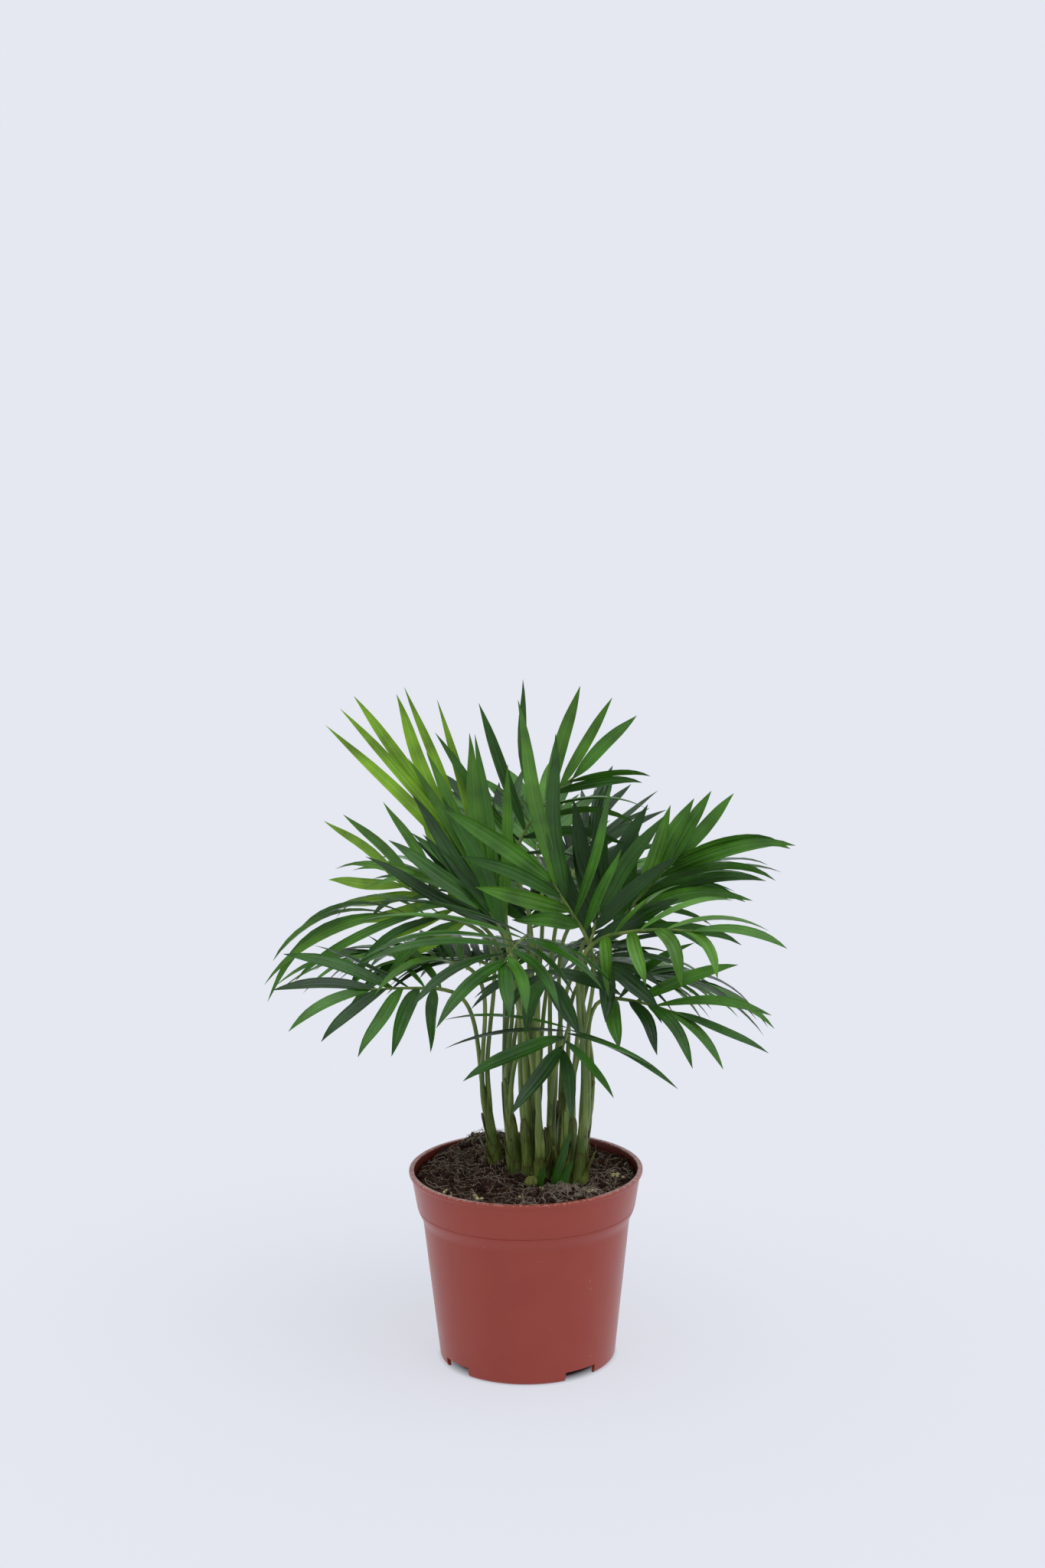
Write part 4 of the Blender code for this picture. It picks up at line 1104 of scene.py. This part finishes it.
SLEEVE_DRY, DRY_LESS = 0.22, 0.1        # the lowest sleeve is the driest
SLEEVE_PLACES, SLEEVE_RISES, SLEEVE_LEANS, SLEEVE_TURN = (0.8, 1.1), (0.7, 1.25), (0.2, 1.0), 0.6
LIP_DRY = 0.8               # how much drier a lip is
LEAN_LATE, DRY_LATE = 5, 9  # powers: a sleeve leans and dries mostly towards its lip
LIP_DROP, ROOT_DROP, ROOT_SINK = 0.1, 2.0, 0.25         # how the inner side of a sleeve closes
TONGUE_POWER, TONGUE_LEAN = 3, 1.1      # how narrow a tongue is, and how far its tip leans out
SCALES = (("stem_04", -30, 17), ("stem_06", -150, 20), ("stem_07", -20, 17), ("stem_01", 190, 16))
SCALE_LOW, SCALE_OVER, SCALE_POWER, SCALE_LEAN = CANE_SUNK + 1.5, SLEEVE_THICK * 4.2, 7, 3.6
SCALE_DRY = 0.0, 0.3        # all over, and how much drier at its tip
CANE_SHARP = radians(50)


def cane_frame(stem):
    """Start, direction, two cross directions and length of a cane."""
    foot, top = Vector((*stem.foot, SOIL_TOP)), Vector(stem.top)
    lift = (top - foot).normalized()
    start = foot - lift * CANE_SUNK
    side = square_to(Vector((1, 0, 0)), lift)
    return start, lift, side, lift.cross(side), (top - start).length


def core_radius(stem, s, length):
    """Radius of the bare cane at a distance from its start."""
    taper = 1.0 - CANE_TAPER * min(s / length, 1.0) + CANE_FOOT * exp(-s / FOOT_RUN)
    crown = soft_step(length - CROWN_START, length + CANE_CROWN, s)
    return (stem.radius * taper - CORE_LESS) * (1 - crown) + CROWN_RADIUS * crown


def core(stem, length, phase):
    """Rings of the bare cane, a little uneven. A ring has a height, a radius and a dryness at every angle."""
    rings = []
    for step in range(CORE_STEPS + 1):
        s = (length + CANE_CROWN) * step / CORE_STEPS
        places = [Vector((cos(angle) * BULGE_ROUND, sin(angle) * BULGE_ROUND, s / BULGE_LONG + phase))
                  for angle in ANGLES]
        rings.append([(s, core_radius(stem, s, length) + BULGE * noise.noise(place), 0.0) for place in places])
    return rings


def sleeve(stem, length, low, rise, bearing, over, power, lean, dry, lip_dry):
    """Rings of a leaf base: its lip stands at `low`, and its tongue rises above that at the bearing."""
    rings = []
    for step in range(SLEEVE_STEPS + 1):
        t = step / SLEEVE_STEPS
        ring = []
        for angle in ANGLES:
            tongue = (0.5 + 0.5 * cos(angle - bearing)) ** power
            s = t * (low + rise * tongue)
            out = over + lean * tongue * t ** LEAN_LATE
            ring.append((s, core_radius(stem, s, length) + out, dry + lip_dry * t ** DRY_LATE))
        rings.append(ring)
    rings.append([(s - LIP_DROP, radius - SLEEVE_THICK, 1.0) for s, radius, _ in rings[-1]])
    rings.append([(low - ROOT_DROP, core_radius(stem, low, length) - ROOT_SINK, 1.0)] * CANE_SIDES)
    return rings


def tube(build, layer, stem, rings):
    """A closed tube of such rings round the cane."""
    start, lift, side, front, _ = cane_frame(stem)
    last = None
    for rows in rings:
        ring = []
        for angle, (s, radius, dry) in zip(ANGLES, rows):
            spot = start + lift * s + (side * cos(angle) + front * sin(angle)) * radius
            ring.append(build.verts.new(spot * MM))
            ring[-1][layer] = dry
        if last:
            for step in range(CANE_SIDES):
                build.faces.new((last[step - 1], last[step], ring[step], ring[step - 1]))
        else:
            build.faces.new(list(reversed(ring)))
        last = ring
    build.faces.new(last)


build = bmesh.new()
lip_layer = build.verts.layers.float.new("lip")
for stem in STEMS:
    chance = random.Random(stem.name)
    phase = chance.uniform(0, 100)
    length = cane_frame(stem)[4]
    tube(build, lip_layer, stem, core(stem, length, phase))
    bearing = chance.uniform(0, 2 * pi)
    for number, (share, rise) in enumerate(SLEEVES):
        tube(build, lip_layer, stem, sleeve(
            stem, length, CANE_SUNK + (length - CANE_SUNK) * share * chance.uniform(*SLEEVE_PLACES),
            rise * chance.uniform(*SLEEVE_RISES), bearing, SLEEVE_THICK * (len(SLEEVES) - number), TONGUE_POWER,
            TONGUE_LEAN * chance.uniform(*SLEEVE_LEANS), SLEEVE_DRY - DRY_LESS * number, LIP_DRY))
        bearing += pi + chance.uniform(-SLEEVE_TURN, SLEEVE_TURN)
stem_named = {stem.name: stem for stem in STEMS}
for name, bearing, rise in SCALES:
    stem = stem_named[name]
    tube(build, lip_layer, stem, sleeve(stem, cane_frame(stem)[4], SCALE_LOW, rise, radians(bearing), SCALE_OVER,
                                        SCALE_POWER, SCALE_LEAN, *SCALE_DRY))
canes = built("canes", build)
canes.data.set_sharp_from_angle(angle=CANE_SHARP)
print("cane faces:", len(canes.data.polygons))

# %% [markdown]
# ### Green cane and dry sheath
# Living sheath is a pale olive green with fine ribs along it, a quarter of a millimetre apart; they are drawn at
# half a millimetre so that they show. Towards a lip it dries to brown, and old scars are nearly black.
# The ribs follow the cane, so the noise is stretched along the height: the canes stand almost upright.
# A rib is lighter on its ridge and darker in its groove: partly the sheath's own striped colour, partly painted
# light and shade.

# %% Cane material
CANE_GREEN, CANE_PALE, CANE_DRY, SCAR = "#4A641C", "#879A48", "#574826", "#1E150C"
BLOTCH = 7.0 * MM
RIBS = 0.5 * MM, (0.32, 0.68), (0.5, 1.4), 32   # size, noise, brightness, and how much taller than wide
BLOTCHES = BLOTCH, (0.35, 0.7), (0, 1), 2.5
SCARS = BLOTCH / 2.3, (0.68, 0.74), (0.0, 0.7), 2.5
RIB_DEEP = 0.15 * MM
MOST_DRY = 0.75

cane_skin, tree, shader, coords = new_material("green cane in leaf sheaths", CANE_GREEN, 0.4, 1.45)
# lighter on each rib's ridge, darker in its groove: partly striped sheath, partly painted light and shade
ribs, rib_tone_and_shade = patches(tree, coords, *RIBS)
_, pale = patches(tree, coords, *BLOTCHES, Detail=3.0)
_, deep = patches(tree, coords, *SCARS)
dry = add(tree, "MapRange", (add(tree, "Attribute", attribute_name="lip").outputs["Fac"], 0, 1, 0, MOST_DRY))
green = coated(tree, CANE_GREEN, (pale, CANE_PALE))
ribbed = add(tree, "HueSaturation", {"Color": green, "Value": rib_tone_and_shade})
relief = add(tree, "Bump", {"Height": ribs, "Strength": 0.5, "Distance": RIB_DEEP})
wire(tree, shader, {"Base Color": coated(tree, ribbed, (dry, CANE_DRY), (deep, SCAR)), "Normal": relief})
canes.data.materials.append(cane_skin)
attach(canes, "root")
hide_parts(*[stem.name for stem in STEMS])
print("canes dressed:", cane_skin.name)

# %% [markdown]
# ## Stalks and ribs
# A stalk is a green rod that flares where it wraps the cane and thins along the blade. It starts inside the
# crown of its cane, so the flare and the last sheath run into each other.
# The stalk tree needs the points of each path and a radius at each.

# %% Stalks
STALK_TIP = 0.5
STALK_FLARE, FLARE_END = 0.25, 0.45     # added at the foot, and the share of the stalk where it ends
STALK_FOOT, FOOT_GROWS = 0.9, 4.0       # radius inside the cane, and how fast it may grow from there
STALK_SUNK = 14.0           # how far down inside its cane a stalk starts
STALK_INWARD = 0.7          # how near to the middle, as a share
STALK_GREEN, STALK_PALE = "#4E6A26", "#7D8E44"
STALK_BLOTCHES = BLOTCH, (0.35, 0.65), (0, 1), 10 / 3

lines, radii = [], []
for frond in fronds:
    petiole = stalks[frond.name]
    middle = Vector(STEMS[frond.stem].top) - petiole[0]
    sunk = petiole[0] - starts[frond.name][1] * STALK_SUNK + middle * STALK_INWARD
    lines.append([sunk, *petiole, *[point for point, _ in rachis_path(frond)]])
    hub = len(petiole) + 1
    row = []
    for step in range(len(lines[-1])):
        if step < hub:
            t = step / hub
            radius = between((STALK_BASE, STALK_HUB), t) + STALK_FLARE * (1 - soft_step(0, FLARE_END, t))
            radius = min(radius, STALK_FOOT + FOOT_GROWS * t)
        else:
            radius = between((STALK_HUB, STALK_TIP), (step - hub) / RACHIS_STEPS)
        row.append(radius * MM)
    radii.append(row)

stalk_skin, tree, shader, coords = new_material("leaf stalk", STALK_GREEN, 0.42, 1.45)
_, pale = patches(tree, coords, *STALK_BLOTCHES, Detail=3.0)
wire(tree, shader, {"Base Color": coated(tree, STALK_GREEN, (pale, STALK_PALE))})
stalk_piece = grow("stalks", line_mesh("stalks", lines, stalk_radius=radii), stalk_tree,
                   Steps=34, Sides=10, Material=stalk_skin)
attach(stalk_piece, "root")
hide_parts(*[frond.name for frond in fronds])

# %% [markdown]
# ## Leaflets
# A leaflet has a long fine point: it is widest a little below the middle, narrow at its root, and bent down by
# its own weight. It is never flat: it sways a little to one side and turns about its line. So its plan is turned
# into the points, half widths and facings that the blade tree follows.

# %% Leaflet lines
BLADE_STEPS = 11
OUTLINE = ((0.0, 0.17), (0.07, 0.48), (0.18, 0.8), (0.3, 0.96), (0.45, 1.0), (0.6, 0.94), (0.73, 0.78),
           (0.84, 0.53), (0.93, 0.25), (1.0, 0.02))
SLIM = 0.86                 # the real outline is slimmer than the solid's straight cuts
SLIMS = (0.85, 1.1)         # from leaflet to leaflet
SWAY = 0.045                # sideways bow, as a share of the length
BLADE_TURN = 24             # degrees, from root to tip


def along_table(table, t):
    """The table's value at t, on straight lines between its rows."""
    for (low, first), (high, last) in zip(table, table[1:]):
        if t <= high:
            return first + (last - first) * (t - low) / (high - low)
    return table[-1][1]


def blade_line(root, aim, face, length, hang, width, chance):
    """Points, half widths and facings along a leaflet's middle line."""
    sway = chance.uniform(-SWAY, SWAY) * length
    slim = SLIM * chance.uniform(*SLIMS)
    turn = radians(chance.uniform(-BLADE_TURN, BLADE_TURN))
    points, halves, facings = [], [], []
    for step, (point, along) in enumerate(leaf_line(root, aim, hang, length, BLADE_STEPS)):
        t = step / BLADE_STEPS
        facings.append(square_to(Matrix.Rotation(turn * t, 3, along) @ face, along))
        points.append(point + along.cross(facings[-1]) * sway * sin(pi * t) ** 2)
        halves.append(width * slim / 2 * along_table(OUTLINE, t) * MM)
    return points, halves, facings


print("points along a leaflet:", BLADE_STEPS + 1)

# %% [markdown]
# ### Leaf colours
# Young fronds are a bright yellow-green and old ones a deep blue-green, with every step between; the darkest tone,
# shade, is painted shade for fronds deep in the crown and behind it. The upper skin is waxed, so it has a broad
# soft shine. Fine veins run the whole length, about half a millimetre apart, and are drawn a little wider here so
# that they show; the middle rib is paler.
# Each tone is its own material, dealt out frond by frond, because a colour that is tied to a place would be lost
# when the joined leaves are exported.

# %% Leaf materials
TONES = {       # colour, and the roughness of the skin
    "lime": ("#80B020", 0.36), "bright": ("#4E8219", 0.33), "mid": ("#447A18", 0.31),
    # shade is a darker copy of the leaf: painted shade for fronds deep in the crown and behind it
    "deep": ("#2E5F0D", 0.29), "shade": ("#1D4307", 0.29),
}
VEINS, PLEATS = 11.0, 3.0   # fine veins and broad soft folds, across one leaflet
VEIN_LIGHT = 0.09
VEIN_DEEP, PLEAT_DEEP = 0.06 * MM, 0.18 * MM
LEAF_CLOUDS = 18.0 * MM, (0.3, 0.7), (0.62, 1.3)
RIB_EDGE = 0.02, 0.12       # from the middle, as a share of half the width
RIB_SHARE = 0.5
RIB_LOOK = {"Value": 1.45, "Saturation": 0.85}


def leaf_material(name, code, roughness):
    """Waxed leaf skin of one tone, with veins along it and a paler middle rib."""
    made, tree, shader, coords = new_material(name, code, roughness, 1.45)
    across = add(tree, "SeparateXYZ", (add(tree, "UVMap", uv_map="UVMap"),)).outputs["X"]
    vein, pleat = [add(tree, "Math", (add(tree, "Math", (across, count * pi), operation="MULTIPLY"),),
                       operation="COSINE") for count in (VEINS, PLEATS)]
    middle = add(tree, "Math", (across,), operation="ABSOLUTE")
    rib = add(tree, "MapRange", (middle, *RIB_EDGE, RIB_SHARE, 0.0))
    _, light = patches(tree, coords, *LEAF_CLOUDS)
    striped = add(tree, "Math", (vein, VEIN_LIGHT, light), operation="MULTIPLY_ADD")
    toned = add(tree, "HueSaturation", {"Color": code, "Value": striped})
    paler = add(tree, "HueSaturation", {"Color": toned, **RIB_LOOK})
    soft = add(tree, "Bump", {"Height": pleat, "Strength": 0.6, "Distance": PLEAT_DEEP})
    relief = add(tree, "Bump", {"Height": vein, "Strength": 0.5, "Distance": VEIN_DEEP, "Normal": soft})
    wire(tree, shader, {"Base Color": coated(tree, toned, (rib, paler)), "Normal": relief})
    return made


leaf_materials = {tone: leaf_material(f"palm leaf, {tone}", *look) for tone, look in TONES.items()}
print("leaf tones:", ", ".join(leaf_materials))

# %% [markdown]
# ### Grow the leaves
# Each frond has a tone, and half of its leaflets take the next tone lighter or darker; only young fronds are
# lime. All leaflets of a tone are grown together and make one piece, which stands for the fronds of that tone.
# Three spears, folded leaves that have just come up, stand at the foot of the canes.

# %% Leaves
STRAY = 0.5
SPEARS = (               # foot, lean to one side, height and width of a young leaf at the foot, in mm
    ((12.6, -17.5), 10.0, 32.0, 4.8), ((16.6, -20.0), 7.0, 17.0, 4.6), ((6.8, -18.0), 2.6, 13.0, 4.0),
)
SPEAR_SUNK = 3.0
SPEAR_HANG = 0.05
SPEAR_FACE = Vector((-0.3, -1, 0))

order = list(TONES)
lines = {tone: ([], [], []) for tone in order}


def keep(tone, blade):
    """Add a blade's points, half widths and facings to those of its tone."""
    for store, row in zip(lines[tone], blade):
        store.append(row)


for frond in fronds:
    chance = random.Random(frond.name + " leaves")
    for leaflet in leaflets_of[frond.name]:
        stray = chance.choice((-1, 1)) if chance.random() < STRAY else 0
        place = max(order.index(frond.tone) + stray, frond.tone != "lime")
        keep(order[min(place, len(order) - 1)], blade_line(*leaflet, chance))
chance = random.Random("spears")
for (x, y), lean, height, width in SPEARS:
    root = Vector((x, y, ground_height(x, y) - SPEAR_SUNK))
    aim = Vector((lean, 0, height)).normalized()
    face = square_to(SPEAR_FACE, aim)
    keep("deep", blade_line(root, aim, face, height + SPEAR_SUNK, SPEAR_HANG, width, chance))
for tone, (points, halves, facings) in lines.items():
    mesh = line_mesh(f"leaves_{tone}", points, half_width=halves, facing=facings)
    leaves = grow(f"leaves_{tone}", mesh, blade_tree, Material=leaf_materials[tone])
    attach(leaves, "root")
    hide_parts(*[frond.name for frond in fronds if frond.tone == tone])
